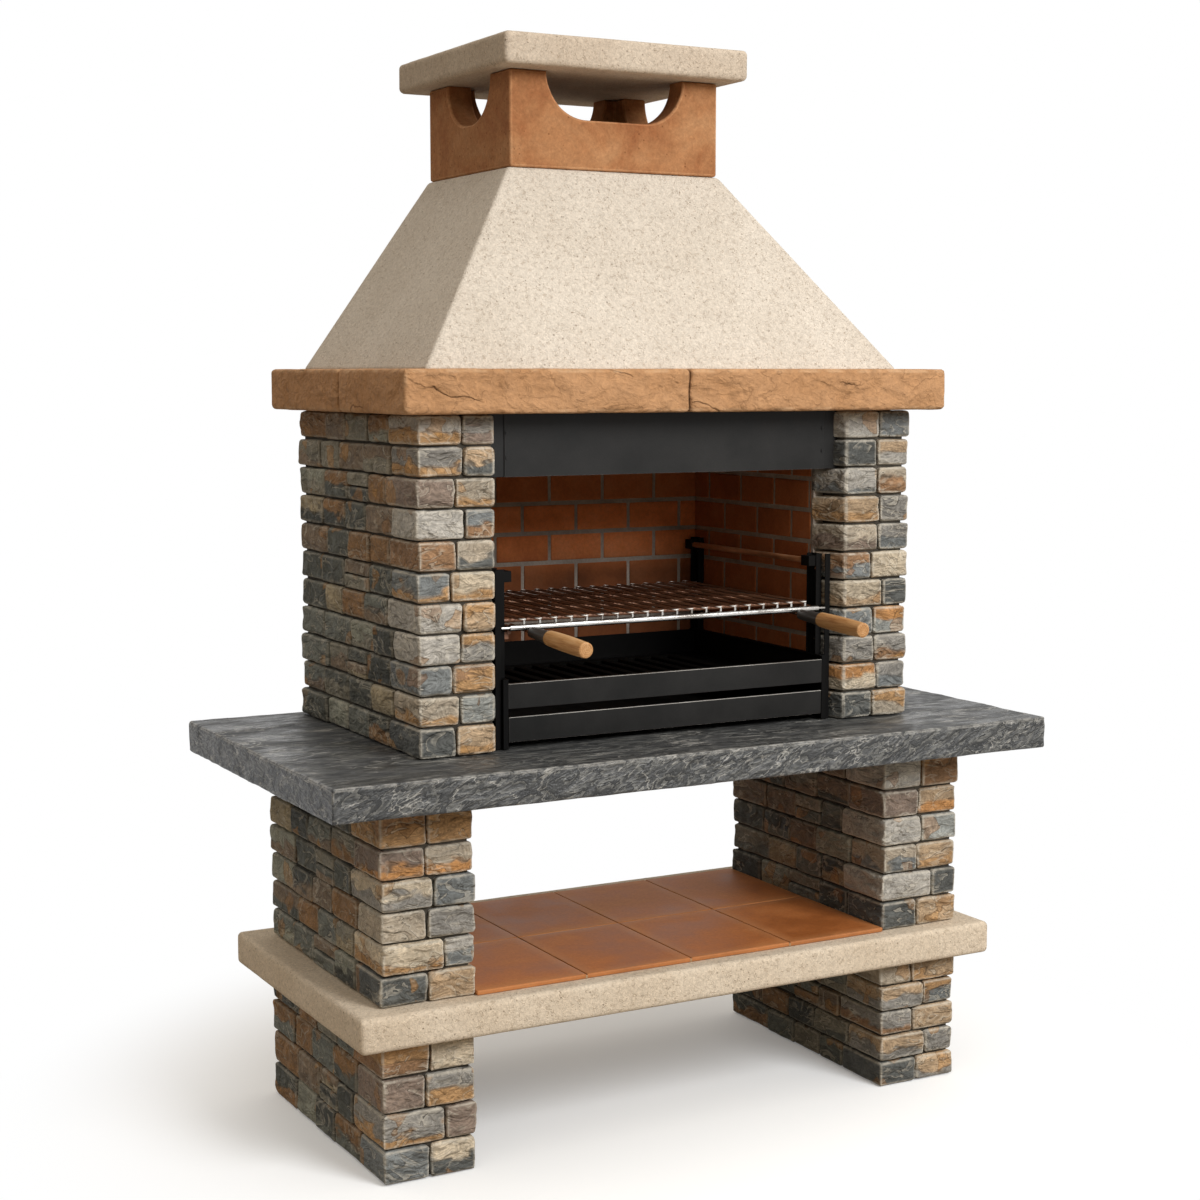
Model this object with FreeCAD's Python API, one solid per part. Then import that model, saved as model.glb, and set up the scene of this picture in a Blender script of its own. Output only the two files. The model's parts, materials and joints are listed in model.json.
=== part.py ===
import FreeCAD, Part
import math
import os

os.makedirs("parts", exist_ok=True)

# Millimetres. X is the width, Y runs from front to back and Z is up.
# Values ending in _y are measured from the middle of the worktop.

# Legs, shelf and worktop
worktop_width = 1832
worktop_depth = 942
worktop_thickness = 76
worktop_edge = 5
leg_side_inset = 158
leg_front_inset = 137
leg_rear_inset = 125
leg_thickness = 220
lower_leg_height = 310
upper_leg_course = 68
upper_leg_top_course = 96
shelf_side_overhang = 66
shelf_front_overhang = 50
shelf_rear_overhang = 65
shelf_thickness = 78
shelf_edge_radius = 14

# Tiles on the shelf
tile_thickness = 11
tile_joint = 4
tile_edge_radius = 4
tile_front_overhang = 4
tile_leg_gap = 1
tile_columns = 4
tile_rows = 2
grout_depth = 3

# Firebox walls, mantel, hood, collar and cap
firebox_width = 914
wall_thickness = 183
wall_depth = 706
wall_front_setback = 196
wall_height = 734
back_panel_thickness = 40
mantel_height = 97
mantel_side_overhang = 56
mantel_front_overhang = 70
mantel_rear_overhang = 35
mantel_front_beam = 126
mantel_rear_beam = 95
mantel_front_joint_x = -12
mantel_side_joint = 375
mantel_edge_radius = 8
hood_height = 456
hood_side_setback = 86
hood_front_setback = 86
hood_top_width = 560
hood_top_depth = 449
hood_wall = 45
collar_height = 219
collar_side_setback = 5
collar_wall = 66
notch_depth = 105
front_notch_width = 360
side_notch_width = 235
cap_thickness = 72
cap_side_overhang = 45
cap_front_overhang = 70
cap_rear_overhang = 90
cap_edge_radius = 14

# Stones. Front joints are shares of the face's width from the left, top course first.
stone_edge = 8
stone_facing = 60
corner_returns = (165, 150, 178, 140)
side_joints = ((0.31, 0.66), (0.36, 0.72), (0.27, 0.60), (0.38, 0.68), (0.30, 0.63))
split_every = 3
left_wall_joints = (0.59, 0.60, 0.49, 0.61, 0.50, 0.43, 0.585, 0.55, 0.45, 0.54, 0.49)
right_wall_joints = (0.53, 0.50, 0.51, 0.55, 0.53, 0.43, 0.61, 0.47, 0.49, 0.53, 0.47)
left_upper_joints = (0.50, 0.48, 0.56, 0.50, 0.67, 0.50)
right_upper_joints = (0.51, 0.47, 0.52, 0.47, 0.67, 0.47)
left_lower_joints = (0.51, 0.46, 0.67, 0.50)
right_lower_joints = (0.41, 0.575, 0.44, 0.61, 0.49)

# Firebrick lining
brick_length = 142
brick_height = 65
brick_thickness = 22
brick_joint = 10
brick_cut_course = 40
brick_full_courses = 9
mortar_bed = 8
lining_front_setback = 41
shortest_brick = 20

# Steel insert
sheet = 3
insert_gap = 0.5
base_height = 155
base_side_flange = 16
base_front_flange = 12.5
base_front_reach = 12
base_rear_gap = 3
front_panel_bottom = 89.5
front_panel_height = 55.5
front_panel_lip = 12
drawer_bottom = 15.5
drawer_front_height = 55.5
drawer_front_gap = 1
drawer_side_gap = 16
drawer_depth = 579
drawer_box_height = 45
drawer_floor_lift = 2.5
drawer_wall = 2
drawer_lip = 8
runner_gap = 0.3
runner_lap = 12
runner_front_gap = 2
ember_grate_width = 620
ember_grate_depth = 420
ember_grate_thickness = 12
ember_grate_lap = 20
ember_grate_bars = 12
ember_slot_share = 0.55
visor_height = 137
visor_side_strip = 39
visor_strip_lap = 18
visor_lip = 20
rivet_radius = 4
rivet_head = 2
rivet_edge = 6
rivet_end = 42

# Uprights, upper rods and grill carrier
upright_height = 240
upright_width = 40
upright_depth = 16
front_upright_setback = 12
rear_upright_setback = 7
peg_hole_radius = 4
peg_pitch = 40
peg_count = 5
edge_strip_width = 14
screw_radius = 3.5
screw_head = 2
screw_spread = 0.35
rod_radius = 5
rod_inset = 27
upper_rod_radius = 7
rod_block_height = 24
rod_block_inset = 35
rod_top_margin = 5
carrier_top = 261.7
lug_gap = 0.5
lug_height = 16

# Grill
grill_bar_radius = 5
wire_radius = 1.75
pin_radius = 3
loop_width = 13
loop_side_gap = 29.5
loop_count = 20
weld_gap = 0.05
slide_gap = 0.3
front_bar_radius = 7
front_bar_end_radius = 3.5
front_bar_end_length = 20
front_bar_gap = 7
front_bar_end_gap = 1
grill_rear_setback = 40
cross_bars = 4
loop_front_setback = 2
handle_inset = 46
handle_droop = 2.5
handle_tang = 100
handle_rod_radius = 4
handle_bore_gap = 0.05
ferrule_gap = 1
ferrule_length = 82
ferrule_back_radius = 12
ferrule_front_radius = 15.5
grip_length = 169
grip_radius = 17
grip_swell = 1.5
grip_edge_radius = 4
grip_tang = 60

# Heights of the stack
shelf_bottom = lower_leg_height
shelf_top = shelf_bottom + shelf_thickness
upper_leg_height = upper_leg_top_course + (len(left_upper_joints) - 1) * upper_leg_course
worktop_bottom = shelf_top + upper_leg_height
worktop_top = worktop_bottom + worktop_thickness
wall_top = worktop_top + wall_height
mantel_top = wall_top + mantel_height
hood_top = mantel_top + hood_height
collar_top = hood_top + collar_height
cap_top = collar_top + cap_thickness

# Planes that several pieces share
worktop_front_y = -worktop_depth / 2
leg_outer = worktop_width / 2 - leg_side_inset
leg_inner = leg_outer - leg_thickness
leg_front_y = worktop_front_y + leg_front_inset
leg_rear_y = worktop_depth / 2 - leg_rear_inset
wall_inner = firebox_width / 2
wall_outer = wall_inner + wall_thickness
wall_front_y = worktop_front_y + wall_front_setback
wall_rear_y = wall_front_y + wall_depth
mantel_half = wall_outer + mantel_side_overhang
mantel_front_y = wall_front_y - mantel_front_overhang
back_y = wall_rear_y + mantel_rear_overhang
hood_half = mantel_half - hood_side_setback
hood_front_y = mantel_front_y + hood_front_setback
hood_top_front_y = back_y - hood_top_depth
collar_half = hood_top_width / 2 - collar_side_setback
cap_half = collar_half + cap_side_overhang
cap_front_y = hood_top_front_y - cap_front_overhang
cap_rear_y = back_y + cap_rear_overhang
lining_front_y = wall_front_y + lining_front_setback
lining_half = wall_inner - mortar_bed - brick_thickness
lining_back_y = wall_rear_y - back_panel_thickness - mortar_bed - brick_thickness
insert_half = lining_half - insert_gap
base_front_y = lining_front_y - base_front_reach
base_rear_y = lining_back_y - base_rear_gap
base_top = worktop_top + base_height
upright_inner = lining_half - upright_depth
front_upright_y = lining_front_y + front_upright_setback
rear_upright_y = lining_back_y - rear_upright_setback - upright_width
upright_top = base_top + upright_height
rod_x = lining_half - rod_inset
loop_pitch = 2 * (rod_x - loop_side_gap) / (loop_count - 1)
handle_x = rod_x - handle_inset
front_bar_half = lining_half - front_bar_end_gap
front_bar_y = front_upright_y - front_bar_gap - front_bar_radius
rail_z = worktop_top + carrier_top - rod_radius
lug_z = rail_z - lug_height / 2
side_bar_z = rail_z + rod_radius + slide_gap + grill_bar_radius
cross_bar_z = side_bar_z + 2 * grill_bar_radius + weld_gap
wire_z = cross_bar_z + grill_bar_radius + weld_gap + wire_radius
grill_rear_y = lining_back_y - grill_rear_setback
ferrule_y = front_bar_y - front_bar_radius - ferrule_gap
grip_y = ferrule_y - ferrule_length
handle_tip_y = grip_y - grip_length

# The frame's origin lies on the floor, below the middle of the whole outline.
# Its front end is the rounded lower rim of the drooping grips.
droop = math.radians(handle_droop)
tip_reach = (front_bar_y - handle_tip_y - grip_edge_radius) * math.cos(droop)
tip_reach += (grip_radius - grip_edge_radius) * math.sin(droop) + grip_edge_radius
frame_shift_y = -(front_bar_y - tip_reach + cap_rear_y) / 2


def vec(x, y, z):
    return FreeCAD.Vector(x, y, z)


def block(x, y, z):
    spans = (x, y, z)
    low = [min(span) for span in spans]
    size = [abs(span[1] - span[0]) for span in spans]
    return Part.makeBox(*size, vec(*low))


def rod(start, end, radius):
    axis = vec(*end) - vec(*start)
    return Part.makeCylinder(radius, axis.Length, vec(*start), axis)


def prism(points, z):
    outline = Part.makePolygon([vec(x, y, z[0]) for x, y in points + points[:1]])
    return Part.Face(outline).extrude(vec(0, 0, z[1] - z[0]))


def fused(solids):
    return solids[0].multiFuse(solids[1:]).removeSplitter()


def rounded(slab, radius):
    return slab.makeFillet(radius, slab.Edges)


def save(name, *solids):
    shape = Part.makeCompound(list(solids)) if len(solids) > 1 else solids[0].copy()
    shape.translate(vec(0, frame_shift_y, 0))
    shape.exportStep(f"parts/{name}.step")


# Stone piers


def stone(x, y, z, shown):
    # A dressed stone: its edges are eased round every face that shows.
    body = block(x, y, z)
    edges = {}
    for face in body.Faces:
        normal = face.normalAt(0, 0)
        if any(normal.dot(vec(*way)) > 0.9 for way in shown):
            edges.update({edge.hashCode(): edge for edge in face.Edges})
    least = min(abs(span[1] - span[0]) for span in (x, y, z))
    return body.makeChamfer(min(stone_edge, least / 3), list(edges.values()))


def side_stones(x, y, z, way, course):
    # One course on the long side of a pier. Some middle stones are two thin ones.
    shares = (0, *side_joints[course % len(side_joints)], 1)
    stones = []
    for place in range(len(shares) - 1):
        span = [y[0] + share * (y[1] - y[0]) for share in shares[place:place + 2]]
        middle = (z[0] + z[1]) / 2
        thin = (course + place) % split_every == 0 and place == 1
        layers = [(z[0], middle), (middle, z[1])] if thin else [z]
        stones += [stone(x, span, layer, [way]) for layer in layers]
    return stones


def pier(name, x, y, z, course_height, joints, clad_sides):
    # Stones laid round a concrete core in level courses. The top one takes up the height that is left.
    left, right = x
    stones = []
    core = []
    for course, joint in enumerate(joints):
        bed = z[0] + (len(joints) - 1 - course) * course_height
        level = (bed, bed + course_height if course else z[1])
        front = y[0] + corner_returns[course % len(corner_returns)]
        rear = y[1] - corner_returns[(course + 2) % len(corner_returns)]
        for span, way, share in (((y[0], front), -1, joint), ((rear, y[1]), 1, 1 - joint)):
            split = left + share * (right - left)
            stones.append(stone((left, split), span, level, [(0, way, 0), (-1, 0, 0)]))
            stones.append(stone((split, right), span, level, [(0, way, 0), (1, 0, 0)]))
        core_x = [left, right]
        if "left" in clad_sides:
            core_x[0] = left + stone_facing
            stones += side_stones((left, core_x[0]), (front, rear), level, (-1, 0, 0), course)
        if "right" in clad_sides:
            core_x[1] = right - stone_facing
            stones += side_stones((core_x[1], right), (front, rear), level, (1, 0, 0), course + 1)
        core.append(block(core_x, (front, rear), level))
    save(f"{name}_stones", *stones)
    save(f"{name}_core", fused(core))


def legs():
    depth = (leg_front_y, leg_rear_y)
    left = (-leg_outer, -leg_inner)
    right = (leg_inner, leg_outer)
    both = ("left", "right")
    for name, x, joints in (("left", left, left_lower_joints), ("right", right, right_lower_joints)):
        course = lower_leg_height / len(joints)
        pier(f"{name}_lower_leg", x, depth, (0, shelf_bottom), course, joints, both)
    upper = (shelf_top, worktop_bottom)
    pier("left_upper_leg", left, depth, upper, upper_leg_course, left_upper_joints, both)
    pier("right_upper_leg", right, depth, upper, upper_leg_course, right_upper_joints, both)


def walls():
    depth = (wall_front_y, wall_rear_y)
    height = (worktop_top, wall_top)
    left = (-wall_outer, -wall_inner)
    right = (wall_inner, wall_outer)
    course = wall_height / len(left_wall_joints)
    pier("left_wall", left, depth, height, course, left_wall_joints, ("left",))
    pier("right_wall", right, depth, height, course, right_wall_joints, ("right",))
    panel_y = (wall_rear_y - back_panel_thickness, wall_rear_y)
    save("firebox_back_panel", block((-wall_inner, wall_inner), panel_y, height))


# Slabs and tiles


def slabs():
    half = leg_outer + shelf_side_overhang
    depth = (leg_front_y - shelf_front_overhang, leg_rear_y + shelf_rear_overhang)
    shelf = block((-half, half), depth, (shelf_bottom, shelf_top))
    save("shelf_slab", rounded(shelf, shelf_edge_radius))
    half = worktop_width / 2
    worktop = block((-half, half), (worktop_front_y, -worktop_front_y), (worktop_bottom, worktop_top))
    save("worktop_slab", worktop.makeChamfer(worktop_edge, worktop.Edges))


def shelf_floor():
    half = leg_inner - tile_leg_gap
    front = leg_front_y - tile_front_overhang
    width = (2 * half - (tile_columns - 1) * tile_joint) / tile_columns
    depth = (leg_rear_y - front - (tile_rows - 1) * tile_joint) / tile_rows
    level = (shelf_top, shelf_top + tile_thickness)
    grout_level = (shelf_top, shelf_top + tile_thickness - grout_depth)
    tiles = []
    grout = []
    for row in range(tile_rows):
        span_y = [front + row * (depth + tile_joint) + step for step in (0, depth)]
        if row:
            grout.append(block((-half, half), (span_y[0] - tile_joint, span_y[0]), grout_level))
        for column in range(tile_columns):
            span_x = [-half + column * (width + tile_joint) + step for step in (0, width)]
            tile = block(span_x, span_y, level)
            top = [edge for edge in tile.Edges if edge.BoundBox.ZMin > shelf_top]
            tiles.append(tile.makeFillet(tile_edge_radius, top))
            if column:
                grout.append(block((span_x[0] - tile_joint, span_x[0]), span_y, grout_level))
    save("shelf_tiles", *tiles)
    save("tile_grout", *grout)


# Firebrick lining


def brick_spans(low, high, course):
    # Bricks of one course, laid out from the middle and half a brick along on every other course.
    pitch = brick_length + brick_joint
    first = (low + high) / 2 + (pitch / 2 if course % 2 == 0 else 0)
    first -= pitch * (1 + (first - low) // pitch)
    spans = []
    while first < high:
        span = (max(low, first + brick_joint / 2), min(high, first + pitch - brick_joint / 2))
        if span[1] - span[0] > shortest_brick:
            spans.append(span)
        first += pitch
    return spans


def brick_levels():
    levels = [(worktop_top, worktop_top + brick_cut_course)]
    for _ in range(brick_full_courses):
        bottom = levels[-1][1] + brick_joint
        levels.append((bottom, bottom + brick_height))
    return levels


def lining():
    levels = brick_levels()
    bed_z = (worktop_top, levels[-1][1])
    bed_y = (wall_rear_y - back_panel_thickness - mortar_bed, wall_rear_y - back_panel_thickness)
    save("back_mortar_bed", block((-wall_inner, wall_inner), bed_y, bed_z))
    bricks = []
    for course, level in enumerate(levels):
        for span in brick_spans(-wall_inner, wall_inner, course):
            bricks.append(block(span, (lining_back_y, bed_y[0]), level))
    save("back_firebricks", *bricks)
    for name, side in (("left", -1), ("right", 1)):
        bed_x = (side * (wall_inner - mortar_bed), side * wall_inner)
        save(f"{name}_mortar_bed", block(bed_x, (lining_front_y, lining_back_y), bed_z))
        bricks = []
        for course, level in enumerate(levels):
            for span in brick_spans(lining_front_y, lining_back_y, course + 1):
                bricks.append(block((side * lining_half, bed_x[0]), span, level))
        save(f"{name}_firebricks", *bricks)


# Mantel, hood, collar and cap


def mantel_piece(points, z):
    # One corner of the mantel ring. The outer edges are rounded, the joint faces stay sharp.
    body = prism(points, z)
    outer = []
    for edge in body.Edges:
        centre = edge.CenterOfMass
        on_side = abs(abs(centre.x) - mantel_half) < 0.01
        on_end = min(abs(centre.y - mantel_front_y), abs(centre.y - back_y)) < 0.01
        upright = edge.BoundBox.ZLength > mantel_height / 2
        if (on_side and on_end) if upright else (on_side or on_end):
            outer.append(edge)
    return body.makeFillet(mantel_edge_radius, outer)


def mantel():
    z = (wall_top, mantel_top)
    beam_front = mantel_front_y + mantel_front_beam
    beam_rear = back_y - mantel_rear_beam
    joint_y = mantel_front_y + mantel_side_joint
    rows = (
        ("front", mantel_front_y, beam_front, mantel_front_joint_x),
        ("rear", back_y, beam_rear, 0),
    )
    for row, outer_y, inner_y, joint_x in rows:
        for name, side in (("left", -1), ("right", 1)):
            outer_x = side * mantel_half
            inner_x = side * wall_inner
            points = [(outer_x, outer_y), (joint_x, outer_y), (joint_x, inner_y)]
            points += [(inner_x, inner_y), (inner_x, joint_y), (outer_x, joint_y)]
            save(f"mantel_{row}_{name}", mantel_piece(points, z))


def frustum(inset):
    base_half = hood_half - inset
    top_half = hood_top_width / 2 - inset
    rear = back_y - inset
    rings = []
    for half, front, z in (
        (base_half, hood_front_y + inset, mantel_top),
        (top_half, hood_top_front_y + inset, hood_top),
    ):
        corners = [(-half, front), (half, front), (half, rear), (-half, rear), (-half, front)]
        rings.append(Part.makePolygon([vec(x, y, z) for x, y in corners]))
    return Part.makeLoft(rings, True, True)


def notch(width):
    # Outline of a notch in the XZ plane: flat bottom and quarter-round ends.
    radius = min(notch_depth, width / 2)
    flat = width / 2 - radius
    bottom = collar_top - notch_depth
    swing = radius * 0.5 ** 0.5
    points = [
        vec(-width / 2, 0, collar_top),
        vec(-flat - swing, 0, bottom + radius - swing),
        vec(-flat, 0, bottom),
        vec(flat, 0, bottom),
        vec(flat + swing, 0, bottom + radius - swing),
        vec(width / 2, 0, collar_top),
    ]
    edges = [
        Part.Arc(*points[0:3]).toShape(),
        Part.LineSegment(points[2], points[3]).toShape(),
        Part.Arc(*points[3:6]).toShape(),
        Part.LineSegment(points[5], points[0]).toShape(),
    ]
    return Part.Face(Part.Wire(edges))


def chimney():
    save("hood", frustum(0).cut(frustum(hood_wall)))
    z = (hood_top, collar_top)
    inner = collar_half - collar_wall
    middle_y = back_y - hood_top_depth / 2
    reach = hood_top_depth / 2 - collar_wall
    outer_box = block((-collar_half, collar_half), (hood_top_front_y, back_y), z)
    flue = block((-inner, inner), (middle_y - reach, middle_y + reach), z)
    front_cut = notch(front_notch_width)
    front_cut.translate(vec(0, hood_top_front_y, 0))
    front_cut = front_cut.extrude(vec(0, hood_top_depth, 0))
    side_cut = notch(side_notch_width)
    side_cut.rotate(vec(0, 0, 0), vec(0, 0, 1), 90)
    side_cut.translate(vec(-collar_half, middle_y, 0))
    side_cut = side_cut.extrude(vec(2 * collar_half, 0, 0))
    save("chimney_collar", outer_box.cut(flue).cut(front_cut).cut(side_cut))
    cap = block((-cap_half, cap_half), (cap_front_y, cap_rear_y), (collar_top, cap_top))
    save("chimney_cap", rounded(cap, cap_edge_radius))


# Steel insert


def visor():
    z = (wall_top - visor_height, wall_top)
    half = wall_inner - visor_side_strip
    back = lining_front_y - sheet
    face = back - sheet
    plate = block((-half, half), (face, back), z)
    lip = block((-half, half), (back, back + visor_lip), (z[0], z[0] + sheet))
    gap_half = half - visor_strip_lap
    clear = block((gap_half, half), (back, lining_front_y), (z[0], z[0] + sheet))
    mirrored = block((-gap_half, -half), (back, lining_front_y), (z[0], z[0] + sheet))
    save("visor_panel", fused([plate, lip]).cut(clear).cut(mirrored))
    strips = []
    rivets = []
    for side in (-1, 1):
        strip_x = (side * gap_half, side * (wall_inner - insert_gap))
        strips.append(block(strip_x, (back, lining_front_y), z))
        for level in (z[0] + rivet_end, z[1] - rivet_end):
            x = side * (half - rivet_edge)
            rivets.append(rod((x, face, level), (x, face - rivet_head, level), rivet_radius))
    save("visor_side_strips", *strips)
    save("visor_rivets", *rivets)


def base():
    z = (worktop_top, base_top)
    back_of_front = base_front_y + sheet
    inside = insert_half - sheet
    for name, side in (("left", -1), ("right", 1)):
        plate = block((side * inside, side * insert_half), (back_of_front, base_rear_y), z)
        shelf_x = (side * (insert_half - base_side_flange), side * insert_half)
        top = block(shelf_x, (back_of_front, base_rear_y), (base_top - sheet, base_top))
        flange_x = (side * (insert_half - base_front_flange), side * insert_half)
        flange = block(flange_x, (base_front_y, back_of_front), z)
        save(f"base_{name}_side", fused([plate, top, flange]))
    rear_z = (worktop_top, base_top - sheet)
    save("base_back_plate", block((-inside, inside), (base_rear_y - sheet, base_rear_y), rear_z))
    floor_z = [worktop_top + front_panel_bottom + step for step in (0, sheet)]
    floor_y = (back_of_front, base_rear_y - sheet)
    floor = block((-inside, inside), floor_y, floor_z)
    middle = sum(floor_y) / 2
    hole_half = ember_grate_width / 2 - ember_grate_lap
    reach = ember_grate_depth / 2 - ember_grate_lap
    hole = block((-hole_half, hole_half), (middle - reach, middle + reach), floor_z)
    save("ember_floor", floor.cut(hole))
    ember_grate(middle, floor_z[1])
    panel_half = insert_half - base_front_flange
    panel_z = [worktop_top + front_panel_bottom + step for step in (0, front_panel_height)]
    panel = block((-panel_half, panel_half), (base_front_y, back_of_front), panel_z)
    lip_y = (back_of_front, back_of_front + front_panel_lip)
    lip_half = insert_half - base_side_flange
    lip = block((-lip_half, lip_half), lip_y, (panel_z[1] - sheet, panel_z[1]))
    save("base_front_panel", fused([panel, lip]))


def ember_grate(middle_y, bottom):
    # Cast plate with slots between its bars.
    half = ember_grate_width / 2
    reach = ember_grate_depth / 2
    level = (bottom, bottom + ember_grate_thickness)
    plate = block((-half, half), (middle_y - reach, middle_y + reach), level)
    pitch = 2 * (half - ember_grate_lap) / ember_grate_bars
    slot_y = (middle_y - reach + ember_grate_lap, middle_y + reach - ember_grate_lap)
    slots = []
    for place in range(ember_grate_bars):
        x = -half + ember_grate_lap + (place + 0.5) * pitch
        slot_half = pitch * ember_slot_share / 2
        slots.append(block((x - slot_half, x + slot_half), slot_y, level))
    save("charcoal_grate", plate.cut(Part.makeCompound(slots)))


def drawer():
    front_half = insert_half - base_front_flange - drawer_front_gap
    front_z = [worktop_top + drawer_bottom + step for step in (0, drawer_front_height)]
    back_of_front = base_front_y + sheet
    front = block((-front_half, front_half), (base_front_y, back_of_front), front_z)
    half = insert_half - sheet - drawer_side_gap
    lip = block((-half, half), (back_of_front, back_of_front + drawer_lip), (front_z[1] - sheet, front_z[1]))
    save("ash_drawer_front", fused([front, lip]))
    bottom = front_z[0] + drawer_floor_lift
    depth = (back_of_front, back_of_front + drawer_depth)
    outer = block((-half, half), depth, (bottom, bottom + drawer_box_height))
    hollow_half = half - drawer_wall
    hollow_y = (depth[0] + drawer_wall, depth[1] - drawer_wall)
    hollow_z = (bottom + drawer_wall, bottom + drawer_box_height)
    hollow = block((-hollow_half, hollow_half), hollow_y, hollow_z)
    save("ash_drawer_box", outer.cut(hollow))
    runner_top = bottom - runner_gap
    runners = []
    for side in (-1, 1):
        rail_x = (side * (half - runner_lap), side * (insert_half - sheet))
        rail_y = (back_of_front + runner_front_gap, base_rear_y - sheet)
        runners.append(block(rail_x, rail_y, (runner_top - sheet, runner_top)))
    save("drawer_runners", *runners)


def upright(side, front_y):
    # Channel that opens towards the middle. The peg holes in its web set the height of the lugs.
    z = (base_top, upright_top)
    y = (front_y, front_y + upright_width)
    outer = block((side * upright_inner, side * lining_half), y, z)
    groove_y = (y[0] + sheet, y[1] - sheet)
    groove = block((side * upright_inner, side * (lining_half - sheet)), groove_y, z)
    channel = outer.cut(groove)
    middle = front_y + upright_width / 2
    for step in range(peg_count):
        level = lug_z + (step - (peg_count - 1) / 2) * peg_pitch
        start = (side * (lining_half - sheet), middle, level)
        channel = channel.cut(rod(start, (side * lining_half, middle, level), peg_hole_radius))
    return channel


def rack():
    strips = []
    rods = []
    blocks = []
    screws = []
    rod_z = upright_top - rod_top_margin - rod_block_height / 2
    for name, side in (("left", -1), ("right", 1)):
        save(f"front_{name}_upright", upright(side, front_upright_y))
        save(f"rear_{name}_upright", upright(side, rear_upright_y))
        strip_x = (side * lining_half, side * (lining_half + edge_strip_width))
        strip_y = (lining_front_y - sheet, lining_front_y)
        strips.append(block(strip_x, strip_y, (worktop_top, upright_top)))
        ends = []
        for front_y in (front_upright_y, rear_upright_y):
            span = (front_y + sheet, front_y + upright_width - sheet)
            span_x = (side * (lining_half - rod_block_inset), side * (lining_half - sheet))
            level = (rod_z - rod_block_height / 2, rod_z + rod_block_height / 2)
            blocks.append(block(span_x, span, level))
            ends.append(span)
            for share in (-screw_spread, screw_spread):
                x = lining_half - sheet
                y = front_y + upright_width / 2
                z = (base_top + upright_top) / 2 + share * upright_height
                screws.append(rod((side * x, y, z), (side * (x - screw_head), y, z), screw_radius))
        span = (ends[0][1], ends[1][0])
        rods.append(rod((side * rod_x, span[0], rod_z), (side * rod_x, span[1], rod_z), upper_rod_radius))
    save("front_edge_strips", *strips)
    save("upper_rods", *rods)
    save("rod_end_blocks", *blocks)
    save("upright_screws", *screws)


# Grill and its height carrier


def carrier():
    z = (lug_z - lug_height / 2, lug_z + lug_height / 2)
    reach = lining_half - sheet - screw_head - lug_gap
    for name, side in (("left", -1), ("right", 1)):
        ends = (front_upright_y, rear_upright_y + upright_width)
        rail = [rod((side * rod_x, ends[0], rail_z), (side * rod_x, ends[1], rail_z), rod_radius)]
        for front_y in (front_upright_y, rear_upright_y):
            span = (front_y + sheet + lug_gap, front_y + upright_width - sheet - lug_gap)
            rail.append(block((side * rod_x, side * reach), span, z))
        save(f"{name}_carrier_rail", fused(rail))
    half = rod_x - rod_radius
    bar_y = rear_upright_y - rod_radius
    save("carrier_rear_bar", rod((-half, bar_y, rail_z), (half, bar_y, rail_z), rod_radius))


def wire_loop(x, front, rear):
    # A closed loop of wire with round ends, swept round its centre line.
    half = loop_width / 2
    points = [
        vec(x - half, front + half, wire_z),
        vec(x, front, wire_z),
        vec(x + half, front + half, wire_z),
        vec(x + half, rear - half, wire_z),
        vec(x, rear, wire_z),
        vec(x - half, rear - half, wire_z),
    ]
    path = Part.Wire([
        Part.Arc(*points[0:3]).toShape(),
        Part.LineSegment(points[2], points[3]).toShape(),
        Part.Arc(*points[3:6]).toShape(),
        Part.LineSegment(points[5], points[0]).toShape(),
    ])
    section = Part.Wire(Part.Circle(points[0], vec(0, 1, 0), wire_radius).toShape())
    return path.makePipeShell([section], True, True)


def grate():
    side_ends = (front_bar_y + front_bar_radius, grill_rear_y)
    bars = []
    for side in (-1, 1):
        start = (side * rod_x, side_ends[0], side_bar_z)
        bars.append(rod(start, (side * rod_x, side_ends[1], side_bar_z), grill_bar_radius))
    reach = rod_x + grill_bar_radius
    first = front_upright_y + upright_width
    step = (grill_rear_y - grill_bar_radius - first) / (cross_bars - 1)
    for place in range(cross_bars):
        y = first + place * step
        bars.append(rod((-reach, y, cross_bar_z), (reach, y, cross_bar_z), grill_bar_radius))
    save("grate_frame_bars", *bars)
    thick_half = front_bar_half - front_bar_end_length
    front_bar = []
    for half, radius in ((front_bar_half, front_bar_end_radius), (thick_half, front_bar_radius)):
        ends = [(side * half, front_bar_y, side_bar_z) for side in (-1, 1)]
        front_bar.append(rod(*ends, radius))
    save("grill_front_bar", fused(front_bar))
    loops = []
    pins = []
    front = front_bar_y + loop_front_setback
    pin_z = (side_bar_z + front_bar_radius + weld_gap, wire_z - wire_radius - weld_gap)
    for place in range(loop_count):
        x = (place - (loop_count - 1) / 2) * loop_pitch
        loops.append(wire_loop(x, front, grill_rear_y))
        pins.append(rod((x, front_bar_y, pin_z[0]), (x, front_bar_y, pin_z[1]), pin_radius))
    save("grate_wires", *loops)
    save("grate_pins", *pins)


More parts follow.
